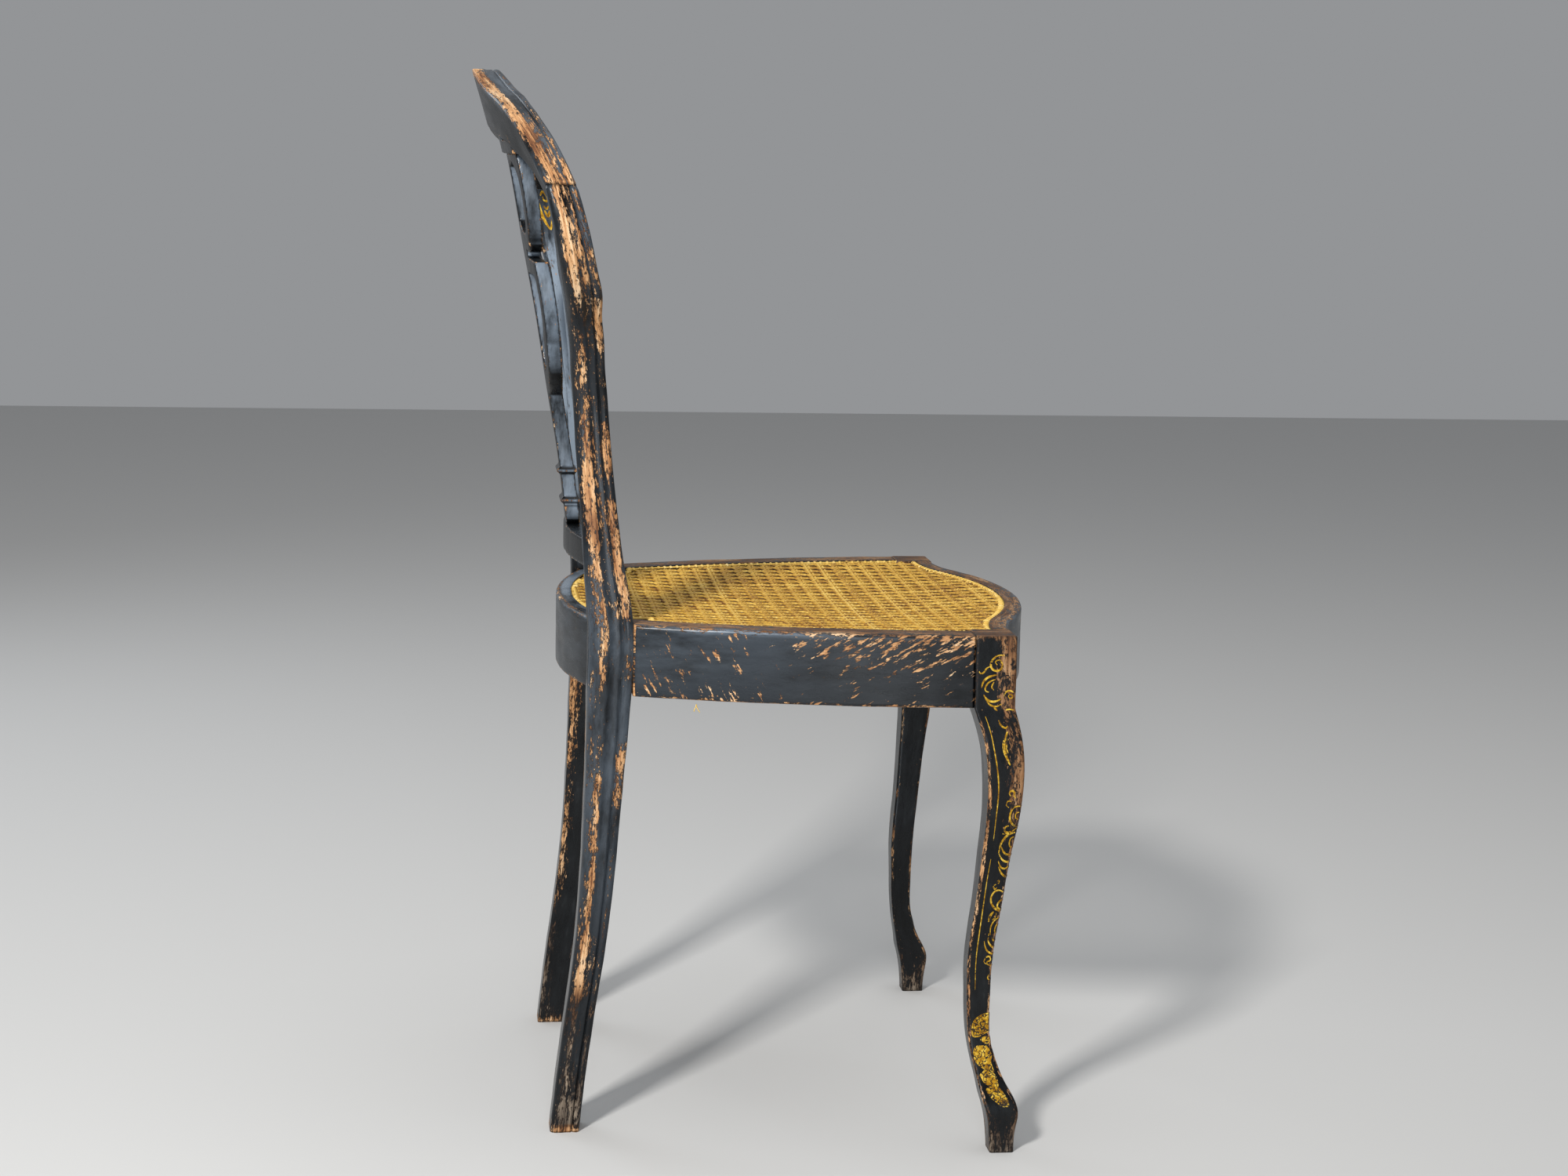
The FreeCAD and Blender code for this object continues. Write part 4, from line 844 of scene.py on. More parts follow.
def edge_wear(mesh):
    """Wear per point from how strongly the surface bends there."""
    count = len(mesh.vertices)
    places = np.empty(count * 3)
    mesh.vertices.foreach_get("co", places)
    places = places.reshape(-1, 3)
    normals = np.array([vertex.normal for vertex in mesh.vertices])
    pairs = np.array([edge.vertices[:] for edge in mesh.edges])

    def gather(values):
        """Sum at each point of the values given for its edges' two ends."""
        total = np.zeros(count)
        for end in (0, 1):
            np.add.at(total, pairs[:, end], values(end))
        return total

    step = places[pairs[:, 1]] - places[pairs[:, 0]]
    turn = ((normals[pairs[:, 1]] - normals[pairs[:, 0]]) * step).sum(axis=1) / (step ** 2).sum(axis=1)
    shares = gather(lambda end: 1)
    bend = gather(lambda end: turn) / np.maximum(shares, 1)
    for _ in range(3):
        bend = (bend + gather(lambda end: bend[pairs[:, 1 - end]])) / (1 + shares)
    return FLAT_WEAR + CURVE_WEAR * np.clip(bend * VOXEL * BEND_GAIN, 0, 1)


def add_worn_copy(name, material):
    """Piece with the solid's form and rounded, worn edges in place of a plain node."""
    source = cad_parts[name]
    mesh = source.data.copy()
    mesh.transform(source.matrix_world)
    mesh.materials.clear()
    piece = bpy.data.objects.new(name + "_wood", mesh)
    bpy.context.collection.objects.link(piece)
    remesh = piece.modifiers.new("remesh", "REMESH")
    remesh.mode = "VOXEL"
    remesh.voxel_size = VOXEL
    soften = piece.modifiers.new("soften", "SMOOTH")
    soften.factor = SOFTEN_FACTOR
    soften.iterations = SOFTEN_TURNS
    graph = bpy.context.evaluated_depsgraph_get()
    soft = bpy.data.meshes.new_from_object(piece.evaluated_get(graph))
    piece.modifiers.clear()
    piece.data = soft
    # Painted sheen on the faces that look sideways
    sheen_values = [SIDE_SHEEN * limited((abs(vertex.normal.x) - SIDE_FACING[name]) * 5) for vertex in soft.vertices]
    dress_mesh(soft, {"wear": edge_wear(soft), "painted_sheen": sheen_values})
    return finish_piece(piece, material, name)


# Seat rails

RAIL_TOP_WEAR = 0.54
REAR_TOP_WEAR = 0.24
# Share of the outer face's height and the wear there
RAIL_FACE_WEAR = [(0.0, 0.46), (0.04, 0.32), (0.12, 0.14), (0.3, 0.10), (0.5, 0.10), (0.7, 0.10), (0.86, 0.16),
                  (0.96, 0.28)]
# Turn round the worn outer edge in degrees, and the wear and painted sheen there
RAIL_EDGE_WEAR = [(0, 0.36, 0.3), (22, 0.44, 0.6), (45, 0.50, 0.6), (68, 0.52, 0.4), (90, 0.52, 0.3)]


def rail_profile(thick, border, top_wear, top_sheen):
    """Points (inset, height, wear, patina, painted sheen) round a seat rail with its worn outer edge and cane
    rebate.
    """
    low, high = RAIL_BOTTOM, SEAT_HEIGHT
    ledge = high - CANE_REBATE
    step = EDGE_ROUND
    # The last value of each point is the strength of the painted sheen, growing towards the top
    points = [(0, mix(low + ARRIS / 2, high - step, share), wear, 0.0, mix(0.05, 0.15, share))
              for share, wear in RAIL_FACE_WEAR]
    for turn, wear, painted_sheen in RAIL_EDGE_WEAR:
        swing = math.radians(turn)
        inset = step - step * math.cos(swing)
        points.append((inset, high - step + step * math.sin(swing), wear, turn / 180, painted_sheen))
    for share in (0.2, 0.4, 0.6, 0.8, 0.97):
        points.append((mix(step, border, share), high, top_wear, mix(0.5, 0.9, share), top_sheen))
    plain = [(border, high - CANE_REBATE * 0.3, 0.4), (border, ledge, 0.0), (thick - ARRIS, ledge, 0.0),
             (thick, ledge - ARRIS, 0.1), (thick, mix(high, low, 0.5), 0.1), (thick, low + ARRIS, 0.3),
             (thick - ARRIS, low, 0.3), (thick / 2, low, 0.2), (ARRIS, low, 0.42),
             (ARRIS * 0.3, low + ARRIS * 0.3, 0.52)]
    return points + [(*point, 0.0, 0.0) for point in plain]


def no_value(place, height):
    return 0.0


def rail_piece(name, outline, spans, sizes, material, added=no_value, scratch=no_value, chafe=no_value,
               painted_sheen=lambda place: 1.0):
    """Rail swept along outline(place, inset); added, scratch and chafe give wear by place and height, and the
    last rule the painted sheen's strength by place.
    """
    profile = rail_profile(*sizes)
    rings = []
    layers = {"wear": [], "patina": [], "painted_sheen": [], "scratch": [], "chafe": []}
    for place in spans:
        rings.append([(*outline(place, point[0]), point[1]) for point in profile])
        layers["wear"].append([wear + added(place, height) for _, height, wear, _, _ in profile])
        layers["patina"].append([point[3] for point in profile])
        layers["painted_sheen"].append([point[4] * painted_sheen(place) for point in profile])
        for key, rule in (("scratch", scratch), ("chafe", chafe)):
            layers[key].append([rule(place, height) if inset < EDGE_ROUND else -1.0
                                for inset, height, *_ in profile])
    rings = np.array(rings)
    rings[1:-1] = roughen(rings[1:-1])
    piece = sweep(name + "_wood", rings, {key: np.array(values) for key, values in layers.items()})
    return finish_piece(piece, material, name)


# Place along a side rail from its front to its rear, and the share of scratches, chafed chips and painted sheen
# there
SCRATCH_ALONG = [(-0.16, 1.0), (-0.10, 1.0), (-0.03, 0.85), (0.02, 0.35), (0.10, 0.0)]
CHAFE_ALONG = [(-0.16, 0.0), (-0.03, 0.15), (0.02, 0.85), (0.08, 1.0), (0.108, 0.7)]
SHEEN_ALONG = [(-0.16, 0.1), (-0.08, 0.3), (0.0, 1.0), (0.10, 1.4)]
# Share of the rail's height, and the share of the scratches and of the chafed chips there
SCRATCH_UP_SHARES = [(0.0, 0.65), (0.25, 0.5), (0.5, 0.7), (0.75, 1.05), (1.0, 1.1)]
CHAFE_UP_SHARES = [(0.0, 0.9), (1.0, 0.6)]
RAIL_END_WEAR = 0.42
FRONT_RAIL_SCRATCH = 0.5
REAR_RAIL_CHAFE = 0.1
SIDE_RAIL_RINGS = 130
REAR_RAIL_RINGS = 90
FRONT_RAIL_RINGS = 150
RAIL_END_RINGS = 4


def add_rails(material):
    end_y = POST_FRONT_Y - RAIL_END_CHAMFER

    def up_and_along(along, up):
        return lambda y, height: table_value(along, y) * table_value(up, (height - RAIL_BOTTOM) / RAIL_HEIGHT)

    def added(y, height):
        return RAIL_END_WEAR if y > end_y and height < SEAT_HEIGHT else 0.0

    spans = np.linspace(BLOCK_REAR_Y, end_y, SIDE_RAIL_RINGS)
    spans = np.concatenate([spans, np.linspace(end_y, POST_FRONT_Y, RAIL_END_RINGS)[1:]])
    for side, sign in SIDES:
        def outline(y, inset, sign=sign):
            cut = max(y - end_y, 0) * (1 - inset / SIDE_RAIL_THICK) * 0.6
            return sign * side_x(y, inset + cut), y

        rail_piece(side + "_side_rail", outline, spans[::-sign],
                   (SIDE_RAIL_THICK, SIDE_BORDER, RAIL_TOP_WEAR, 0.2), material, added,
                   up_and_along(SCRATCH_ALONG, SCRATCH_UP_SHARES),
                   up_and_along(CHAFE_ALONG, CHAFE_UP_SHARES), lambda y: table_value(SHEEN_ALONG, y))
    wide = np.linspace(-post_inner_x, post_inner_x, REAR_RAIL_RINGS)
    rail_piece("rear_rail", lambda x, inset: (x, rear_y(x, inset)), wide,
               (REAR_RAIL_THICK, REAR_BORDER, REAR_TOP_WEAR, 1.0), material,
               chafe=lambda x, height: REAR_RAIL_CHAFE)
    wide = np.linspace(block_inner_x, -block_inner_x, FRONT_RAIL_RINGS)
    rail_piece("front_rail", lambda x, inset: (x, front_y(x, inset)), wide,
               (FRONT_RAIL_THICK, FRONT_BORDER, RAIL_TOP_WEAR, 0.1), material,
               scratch=lambda x, height: FRONT_RAIL_SCRATCH)


# Cabriole front legs

# Share of the height below the rails, of the sideways flare and of the block's width
CABRIOLE_SHARES = [
    (0.0, 0.965, 0.60),
    (0.05, 0.945, 0.66),
    (0.098, 0.89, 0.80),
    (0.12, 0.74, 0.795),
    (0.147, 0.50, 0.69),
    (0.197, 0.14, 0.585),
    (0.253, -0.12, 0.54),
    (0.315, -0.18, 0.565),
    (0.435, -0.165, 0.62),
    (0.552, 0.085, 0.65),
    (0.665, 0.315, 0.705),
    (0.768, 0.54, 0.81),
    (0.84, 0.585, 0.88),
    (0.92, 0.455, 0.935),
    (1.0, 0.0, 1.0),
]
leg_centre_x = block_outer_x - BLOCK_SIZE / 2
leg_centre_y = BLOCK_REAR_Y - BLOCK_SIZE / 2
# Height up to which a foot's end is grey and worn
FOOT_GREY = 0.045


def leg_rows(count):
    rows = [(leg_centre_x + LEG_FLARE_X * flare, leg_centre_y - LEG_FLARE_Y * flare, RAIL_BOTTOM * height,
             BLOCK_SIZE * width) for height, flare, width in CABRIOLE_SHARES]
    return spline_rows(rows, count)


# Outward direction and wear of the arris of each corner, seen from above on the left leg
LEG_CORNERS = [((1, -1), 0.50), ((1, 1), 0.48), ((-1, 1), 0.40), ((-1, -1), 0.46)]
# Share of the way to the next corner and the wear there
LEG_FACE_WEAR = [(0.06, 0.26), (0.3, 0.12), (0.5, 0.12), (0.7, 0.12), (0.94, 0.26)]
# Height and wear of the rubbed front part of a leg's outer face, and its share at each point of the ring
KNEE_WEAR = [(0.20, 0.0), (0.26, 0.38), (0.31, 0.50), (0.36, 0.52), (0.43, 0.55)]
KNEE_SHARES = [0.6, 0.9, 1, 1, 1, 1, 0.97, 0.75, 0, 0] + [0] * 29 + [0.5]
BLOCK_TOP_WEAR = 0.56
FOOT_TIP_WEAR = 0.52
LEG_RINGS = 260
BLOCK_RINGS = 28


def square_ring(x, y, z, width, arris, sign):
    """Rounded square in plan with its wear values; points run anticlockwise for the left leg."""
    flat = width / 2 - arris
    points = []
    for corner, ((turn_x, turn_y), corner_wear) in enumerate(LEG_CORNERS):
        start = (turn_x * flat, turn_y * flat)
        for step in range(5):
            swing = math.radians(-90 + 90 * corner + 22.5 * step)
            points.append((start[0] + arris * math.cos(swing), start[1] + arris * math.sin(swing), corner_wear))
        next_x, next_y = LEG_CORNERS[(corner + 1) % 4][0]
        for share, wear in LEG_FACE_WEAR:
            points.append((mix(start[0], next_x * flat, share) + arris * math.cos(swing),
                           mix(start[1], next_y * flat, share) + arris * math.sin(swing), wear))
    return [(sign * (x + px), y + py, z) for px, py, _ in points], [wear for _, _, wear in points]


def add_front_legs(material):
    # Heights on the block and how much slimmer it is there
    block = [(height, 0.0) for height in np.linspace(RAIL_BOTTOM + ARRIS, SEAT_HEIGHT - ARRIS, BLOCK_RINGS)]
    block += [(SEAT_HEIGHT - ARRIS * 0.3, ARRIS * 0.5), (SEAT_HEIGHT, ARRIS * 1.6)]
    rows = list(leg_rows(LEG_RINGS))
    rows += [(leg_centre_x, leg_centre_y, height, BLOCK_SIZE - slimmer) for height, slimmer in block]
    for side, sign in SIDES:
        rings = []
        layers = {"wear": [], "patina": []}
        for x, y, z, width in rows:
            arris = mix(LEG_ARRIS, ARRIS, limited((z - RAIL_BOTTOM * 0.9) / (RAIL_BOTTOM * 0.1)))
            ring, wears = square_ring(x, y, z, width, arris, sign)
            rings.append(ring)
            top = max(1 - (SEAT_HEIGHT - z) / (ARRIS * 4), 0)
            foot = max(1 - z / FOOT_GREY, 0)
            rubbed = [table_value(KNEE_WEAR, z) * share for share in KNEE_SHARES]
            tip = foot ** 0.5
            layers["wear"].append([max(wear, rub, mix(wear, BLOCK_TOP_WEAR, top), mix(wear, FOOT_TIP_WEAR, tip))
                                   for wear, rub in zip(wears, rubbed)])
            layers["patina"].append([max(top, 1.7 * foot ** 0.3, min(rub * 1.2, 0.6)) for rub in rubbed])
        rings = np.array(rings)
        rings[1:-1] = roughen(rings[1:-1])
        layers = {key: np.array(values)[:, ::sign] for key, values in layers.items()}
        name = side + "_front_leg"
        finish_piece(sweep(name + "_wood", rings[:, ::sign], layers, UV_STARTS[sign]), material, name)


# Gilt scrollwork on the front legs

# Width in shares of the block and points: share of the face from the rear arris to the front one, and share of
# the leg's height below the rails, where more than 1 lies on the block
GILT_STROKE_SHARES = [
    (0.040, [(0.69, 1.118), (0.54, 1.118), (0.42, 1.111), (0.36, 1.10), (0.40, 1.088), (0.52, 1.084),
             (0.62, 1.09), (0.63, 1.10), (0.55, 1.108), (0.47, 1.104), (0.52, 1.097)]),
    (0.032, [(0.35, 1.094), (0.25, 1.088), (0.20, 1.081), (0.13, 1.078), (0.08, 1.083)]),
    (0.042, [(0.52, 1.075), (0.34, 1.071), (0.20, 1.061), (0.15, 1.047)]),
    (0.032, [(0.49, 1.065), (0.35, 1.06), (0.26, 1.051), (0.25, 1.04), (0.33, 1.037)]),
    (0.030, [(0.45, 1.059), (0.40, 1.048), (0.45, 1.041)]),
    (0.044, [(0.21, 1.031), (0.32, 1.019), (0.48, 1.016), (0.63, 1.022)]),
    (0.034, [(0.26, 1.021), (0.37, 1.009), (0.51, 1.005), (0.65, 1.011)]),
    (0.038, [(0.47, 1.003), (0.54, 0.996)]),
    (0.034, [(0.70, 1.028), (0.76, 1.038), (0.89, 1.039), (0.97, 1.032)]),
    (0.028, [(0.81, 1.028), (0.86, 1.032), (0.92, 1.027), (0.87, 1.023), (0.81, 1.028)]),
    (0.028, [(0.74, 0.997), (0.83, 0.999), (0.95, 0.997)]),
    (0.038, [(0.50, 0.976), (0.52, 0.966), (0.62, 0.96), (0.68, 0.964)]),
    (0.060, [(0.64, 0.952), (0.54, 0.937), (0.47, 0.921), (0.50, 0.901), (0.60, 0.88)]),
    (0.036, [(0.62, 0.937), (0.54, 0.921), (0.56, 0.907)]),
    (0.040, [(0.63, 0.811), (0.59, 0.818), (0.65, 0.823), (0.73, 0.819), (0.73, 0.811), (0.79, 0.807)]),
    (0.030, [(0.67, 0.799), (0.55, 0.798), (0.53, 0.79), (0.61, 0.785)]),
    (0.046, [(0.94, 0.788), (0.77, 0.785), (0.68, 0.771), (0.71, 0.754), (0.86, 0.743), (1.04, 0.738)]),
    (0.030, [(0.94, 0.774), (0.85, 0.771), (0.86, 0.761), (0.97, 0.757)]),
    (0.042, [(0.78, 0.73), (0.69, 0.727), (0.59, 0.732), (0.60, 0.74), (0.70, 0.742)]),
    (0.036, [(0.54, 0.724), (0.73, 0.725), (0.95, 0.737)]),
    (0.054, [(0.94, 0.727), (0.70, 0.719), (0.56, 0.701), (0.54, 0.678)]),
    (0.034, [(1.01, 0.715), (0.86, 0.714), (0.83, 0.702), (0.95, 0.69), (1.10, 0.691)]),
    (0.044, [(0.59, 0.693), (0.70, 0.681), (0.91, 0.674), (1.09, 0.68)]),
    (0.040, [(0.55, 0.677), (0.70, 0.663), (0.93, 0.658), (1.11, 0.665)]),
    (0.036, [(0.57, 0.66), (0.71, 0.645), (0.89, 0.643), (0.98, 0.652)]),
    (0.042, [(0.62, 0.646), (0.78, 0.63), (0.96, 0.623), (1.09, 0.623)]),
    (0.080, [(0.73, 0.615), (0.68, 0.606)]),
    (0.036, [(0.64, 0.605), (0.56, 0.60), (0.62, 0.594), (0.69, 0.598)]),
    (0.048, [(0.94, 0.587), (0.74, 0.591), (0.57, 0.583), (0.53, 0.57), (0.63, 0.555), (0.84, 0.544),
             (1.10, 0.539)]),
    (0.046, [(1.01, 0.569), (0.87, 0.565), (0.81, 0.554), (0.97, 0.545)]),
    (0.074, [(0.71, 0.54), (0.61, 0.53), (0.59, 0.516)]),
    (0.036, [(0.82, 0.538), (0.82, 0.529), (0.71, 0.52)]),
    (0.040, [(1.04, 0.527), (0.82, 0.52), (0.72, 0.505), (0.76, 0.484)]),
    (0.034, [(1.05, 0.517), (0.92, 0.508), (0.90, 0.493), (0.98, 0.484)]),
    (0.040, [(0.70, 0.489), (0.70, 0.473), (0.87, 0.458), (1.10, 0.452)]),
    (0.036, [(0.84, 0.486), (0.88, 0.474), (1.04, 0.467)]),
    (0.040, [(0.55, 0.47), (0.67, 0.452), (0.86, 0.442), (1.09, 0.439)]),
    (0.034, [(0.77, 0.416), (0.65, 0.422), (0.71, 0.431), (0.86, 0.433), (0.90, 0.426), (0.77, 0.421),
             (0.88, 0.413), (0.97, 0.415)]),
    (0.030, [(0.92, 0.408), (1.03, 0.409)]),
    (0.030, [(0.88, 0.391), (0.84, 0.384), (0.95, 0.377)]),
]
GILT_LINE_SHARES = [
    (0.028, [(0.20, 0.984), (0.21, 0.954), (0.21, 0.915), (0.26, 0.865), (0.28, 0.821), (0.27, 0.767),
             (0.29, 0.708)]),
    (0.032, [(0.30, 0.664), (0.28, 0.601), (0.30, 0.509), (0.33, 0.425), (0.33, 0.357)]),
]
GILT_LEAF_SHARES = [
    (0.0, [(1.01, 0.304), (0.75, 0.301), (0.47, 0.294), (0.25, 0.282), (0.17, 0.267), (0.18, 0.25), (0.43, 0.247),
           (0.75, 0.254), (0.98, 0.262)]),
    (0.1, [(0.49, 0.242), (0.73, 0.249), (0.97, 0.245), (0.86, 0.232), (0.66, 0.235)]),
    (0.1, [(0.09, 0.215), (0.21, 0.226), (0.45, 0.23), (0.80, 0.226), (0.89, 0.209), (0.77, 0.195), (0.76, 0.175),
           (0.51, 0.176), (0.27, 0.185), (0.10, 0.198)]),
    (0.2, [(0.14, 0.17), (0.36, 0.178), (0.66, 0.178), (0.77, 0.163), (0.70, 0.147), (0.45, 0.147),
           (0.22, 0.154)]),
    (0.5, [(0.21, 0.142), (0.46, 0.149), (0.69, 0.146), (0.79, 0.127), (0.77, 0.11), (0.58, 0.106), (0.39, 0.117),
           (0.26, 0.129)]),
]
# The same for the stiles' inner faces below the crest joint: a tapering drop with a curl in it
STILE_STROKE_SHARES = [
    (0.095, [(0.10, 2.085), (0.12, 2.04), (0.22, 2.00), (0.36, 1.972)]),
    (0.090, [(0.62, 2.085), (0.60, 2.04), (0.50, 2.00), (0.38, 1.970)]),
    (0.070, [(0.24, 2.075), (0.34, 2.085), (0.46, 2.075), (0.44, 2.060), (0.33, 2.062), (0.32, 2.072)]),
    (0.060, [(0.28, 2.045), (0.36, 2.035), (0.44, 2.045)]),
    (0.080, [(0.28, 2.030), (0.37, 2.012), (0.45, 2.030)]),
]
GILT_LIFT = 0.00012
GILT_STEP = 0.0008
LEAF_COLUMNS = 7
LEAF_POINTS = 160
FACE_END_SHARE = 0.95
STROKE_TAPER_SHARE = 0.35
STROKE_HALF_SHARES = (0.28, 0.62)
STROKE_WEAR = 0.25
DENSE_ROWS = 400
dense_leg = leg_rows(DENSE_ROWS)
dense_post = spline_rows(post_stations(), DENSE_ROWS)


def row_at(rows, z):
    """Row between the rows of a member at a height, which is its third number."""
    return [float(np.interp(z, rows[:, 2], rows[:, column])) for column in range(rows.shape[1])]


def leg_place(sign, front):
    """Rule that puts shares (across, height) on a leg's outer side, or on its front."""
    def place(across, height):
        z = height * RAIL_BOTTOM
        x, y, _, width = row_at(dense_leg, min(z, RAIL_BOTTOM))
        half = width / 2
        if front:
            point = uneven((sign * (x - half + width * across), y - half, z)) + Vector((0, -GILT_LIFT, 0))
        else:
            point = uneven((sign * (x + half), y + half - width * across, z)) + Vector((sign * GILT_LIFT, 0, 0))
        return Vector(np.clip(point, *cad_box))
    return place


def stile_place(sign):
    """Rule that puts shares on a stile's inner face, from its rear to its front edge and from its foot up."""
    def place(across, height):
        x, y, z, width, depth = row_at(dense_post, height * RAIL_BOTTOM)
        slope = row_at(dense_post, height * RAIL_BOTTOM + GILT_STEP)[0] - x
        outward = Vector((GILT_STEP, 0, -slope)).normalized()
        inner = width / 2 + GILT_LIFT * 2
        return Vector((sign * (x - outward.x * inner),
                       y - BACK_LEAN_RATIO * inner * outward.z - mix(-depth / 2, depth / 2, across),
                       z - outward.z * inner))
    return place


def stroke_samples(points):
    """Even samples along a smooth curve through shares, in metres on the flat face."""
    rows = [(across * BLOCK_SIZE, height * RAIL_BOTTOM, 0) for across, height in points]
    length = sum(math.dist(first, last) for first, last in zip(rows, rows[1:]))
    if len(rows) < 3:
        rows.insert(1, tuple((first + last) / 2 for first, last in zip(rows[0], rows[-1])))
    return spline_rows(rows, max(int(length / GILT_STEP), 4))


def gilt_strokes(verts, faces, place, strokes):
    """Ribbons along the strokes, slimmer at their ends and cut off at the face's far edge."""
    for width, points in strokes:
        samples = stroke_samples(points)
        slopes = np.gradient(samples, axis=0)
        last = len(samples) - 1
        open_row = False
        for index, (across, height, _) in enumerate(samples):
            if across / BLOCK_SIZE > FACE_END_SHARE:
                open_row = False
                continue
            end = min(index, last - index) / (last * STROKE_TAPER_SHARE)
            half = BLOCK_SIZE * width * mix(*STROKE_HALF_SHARES, min(end, 1))
            slope = slopes[index] / max(np.linalg.norm(slopes[index]), 1e-9)
            for way in (-1, 1):
                new_across = (across - way * half * slope[1]) / BLOCK_SIZE
                verts.append(place(new_across, (height + way * half * slope[0]) / RAIL_BOTTOM))
            if open_row:
                base = len(verts) - 4
                faces.append((base, base + 1, base + 3, base + 2))
            open_row = True


def gilt_leaf(verts, faces, place, points):
    """Solid leaf between the left and right limit of a closed outline at each height."""
    rows = [(across * BLOCK_SIZE, height * RAIL_BOTTOM, 0) for across, height in points + points[:1]]
    outline = spline_rows(rows, LEAF_POINTS)
    levels = np.arange(outline[:, 1].min() + GILT_STEP / 2, outline[:, 1].max(), GILT_STEP)
    first = len(verts)
    for level in levels:
        crossings = []
        for (x0, z0, _), (x1, z1, _) in zip(outline, outline[1:]):
            if (z0 - level) * (z1 - level) <= 0 and z0 != z1:
                crossings.append(mix(x0, x1, (level - z0) / (z1 - z0)))
        left = min(crossings) / BLOCK_SIZE
        right = min(max(crossings) / BLOCK_SIZE, FACE_END_SHARE)
        for column in range(LEAF_COLUMNS):
            verts.append(place(mix(left, right, column / (LEAF_COLUMNS - 1)), level / RAIL_BOTTOM))
    for row in range(len(levels) - 1):
        for column in range(LEAF_COLUMNS - 1):
            base = first + row * LEAF_COLUMNS + column
            faces.append((base, base + 1, base + LEAF_COLUMNS + 1, base + LEAF_COLUMNS))


def add_gilding(material):
    leg_strokes = GILT_STROKE_SHARES + GILT_LINE_SHARES
    for side, sign in SIDES:
        # Name, rule that places the gilding, strokes, leaves, wear of the strokes and whether faces are turned
        parts = [
            ("stile_gilding", stile_place(sign), STILE_STROKE_SHARES, [], 0.0, sign < 0),
            ("leg_gilding_side", leg_place(sign, False), leg_strokes, GILT_LEAF_SHARES, STROKE_WEAR, sign > 0),
            ("leg_gilding_face", leg_place(sign, True), leg_strokes, GILT_LEAF_SHARES, STROKE_WEAR, sign < 0),
        ]
        for name, place, strokes, leaves, stroke_wear, turned in parts:
            verts = []
            faces = []
            gilt_strokes(verts, faces, place, strokes)
            wear = [stroke_wear] * len(verts)
            vein = [0.0] * len(verts)
            for rubbed, points in leaves:
                gilt_leaf(verts, faces, place, points)
                wear += [rubbed] * (len(verts) - len(wear))
            vein += [1.0] * (len(verts) - len(vein))
            if turned:
                faces = [face[::-1] for face in faces]
            layers = {"wear": wear, "vein": vein}
            finish_piece(link_mesh(side + "_" + name, verts, faces, None, layers), material)


# Woven cane

CANE_PITCH_X = 0.0158
CANE_PITCH_Y = 0.0133
STRAND_WIDTH = 0.0027
STRAND_THICK = 0.0008
PAIR_GAP = 0.0031
CANE_SAG = 0.0065
CANE_WAVE = 0.0005
CANE_WAVE_SCALE = 22.0
CANE_TOP = SEAT_HEIGHT - 0.0015
CANE_EDGE_INSET = 0.0012
STEPS_PER_PITCH = 4
STRAND_LIFT = 0.00055
# Share of the edge darkening, dirt and painted shade, on the binding loops
LOOP_DIRT_AND_SHADE = 0.8
# Across the strand, its height in shares of its thickness, and how far it is an edge, darkened with dirt and
# painted shade
STRAND_SECTION = [(-0.5, -0.9, 1.0), (-0.43, 0.45, 0.55), (-0.18, 0.95, 0.0), (0.18, 0.95, 0.0),
                  (0.43, 0.45, 0.55), (0.5, -0.9, 1.0)]


def in_cane(x, y, inset):
    """True where the cane shows, inset from the edge of the rebate."""
    keep_off = CANE_CORNER + inset
    half = abs(x)
    if half > block_inner_x + SIDE_BORDER or y < front_y(min(half, block_inner_x), FRONT_BORDER + inset):
        return False
    if y > POST_FRONT_Y + CANE_CORNER:
        return half < post_inner_x - keep_off and y < rear_y(half, REAR_BORDER + inset)
    if half > side_x(y, SIDE_BORDER + inset):
        return False
    if y > POST_FRONT_Y - keep_off:
        corner = math.hypot(max(half - (post_inner_x - keep_off * 1.3), 0), y - (POST_FRONT_Y - keep_off))
        inside = half < post_inner_x - keep_off * 0.5 and corner < keep_off * 1.35
        return inside and y < rear_y(min(half, post_inner_x), REAR_BORDER + inset)
    return True


cane_rear_y = REAR_MID_Y - REAR_BORDER
cane_front_y = block_front_y - FRONT_BOW + FRONT_BORDER
cane_mid_y = (cane_rear_y + cane_front_y) / 2
cane_half_y = (cane_rear_y - cane_front_y) / 2


def cane_level(x, y):
    """Height of the slack cane's middle layer."""
    across = min(abs(x) / (SEAT_FRONT_HALF - SIDE_BORDER), 1)
    along = min(abs(y - cane_mid_y) / cane_half_y, 1)
    wave = noise.noise(Vector((x, y, 0)) * CANE_WAVE_SCALE) * CANE_WAVE
    return CANE_TOP - CANE_SAG * (1 - across ** 2) * (1 - along ** 2) + wave * (1 - max(across, along) ** 4)


def strand_runs(start, direction, length, step):
    """Stretches of a straight strand that lie inside the rebate."""
    runs = [[]]
    for index in range(int(length / step) + 1):
        point = start + direction * (index * step)
        if in_cane(point.x, point.y, CANE_EDGE_INSET):
            runs[-1].append(point)
        elif runs[-1]:
            runs.append([])
    return [run for run in runs if len(run) > 2]


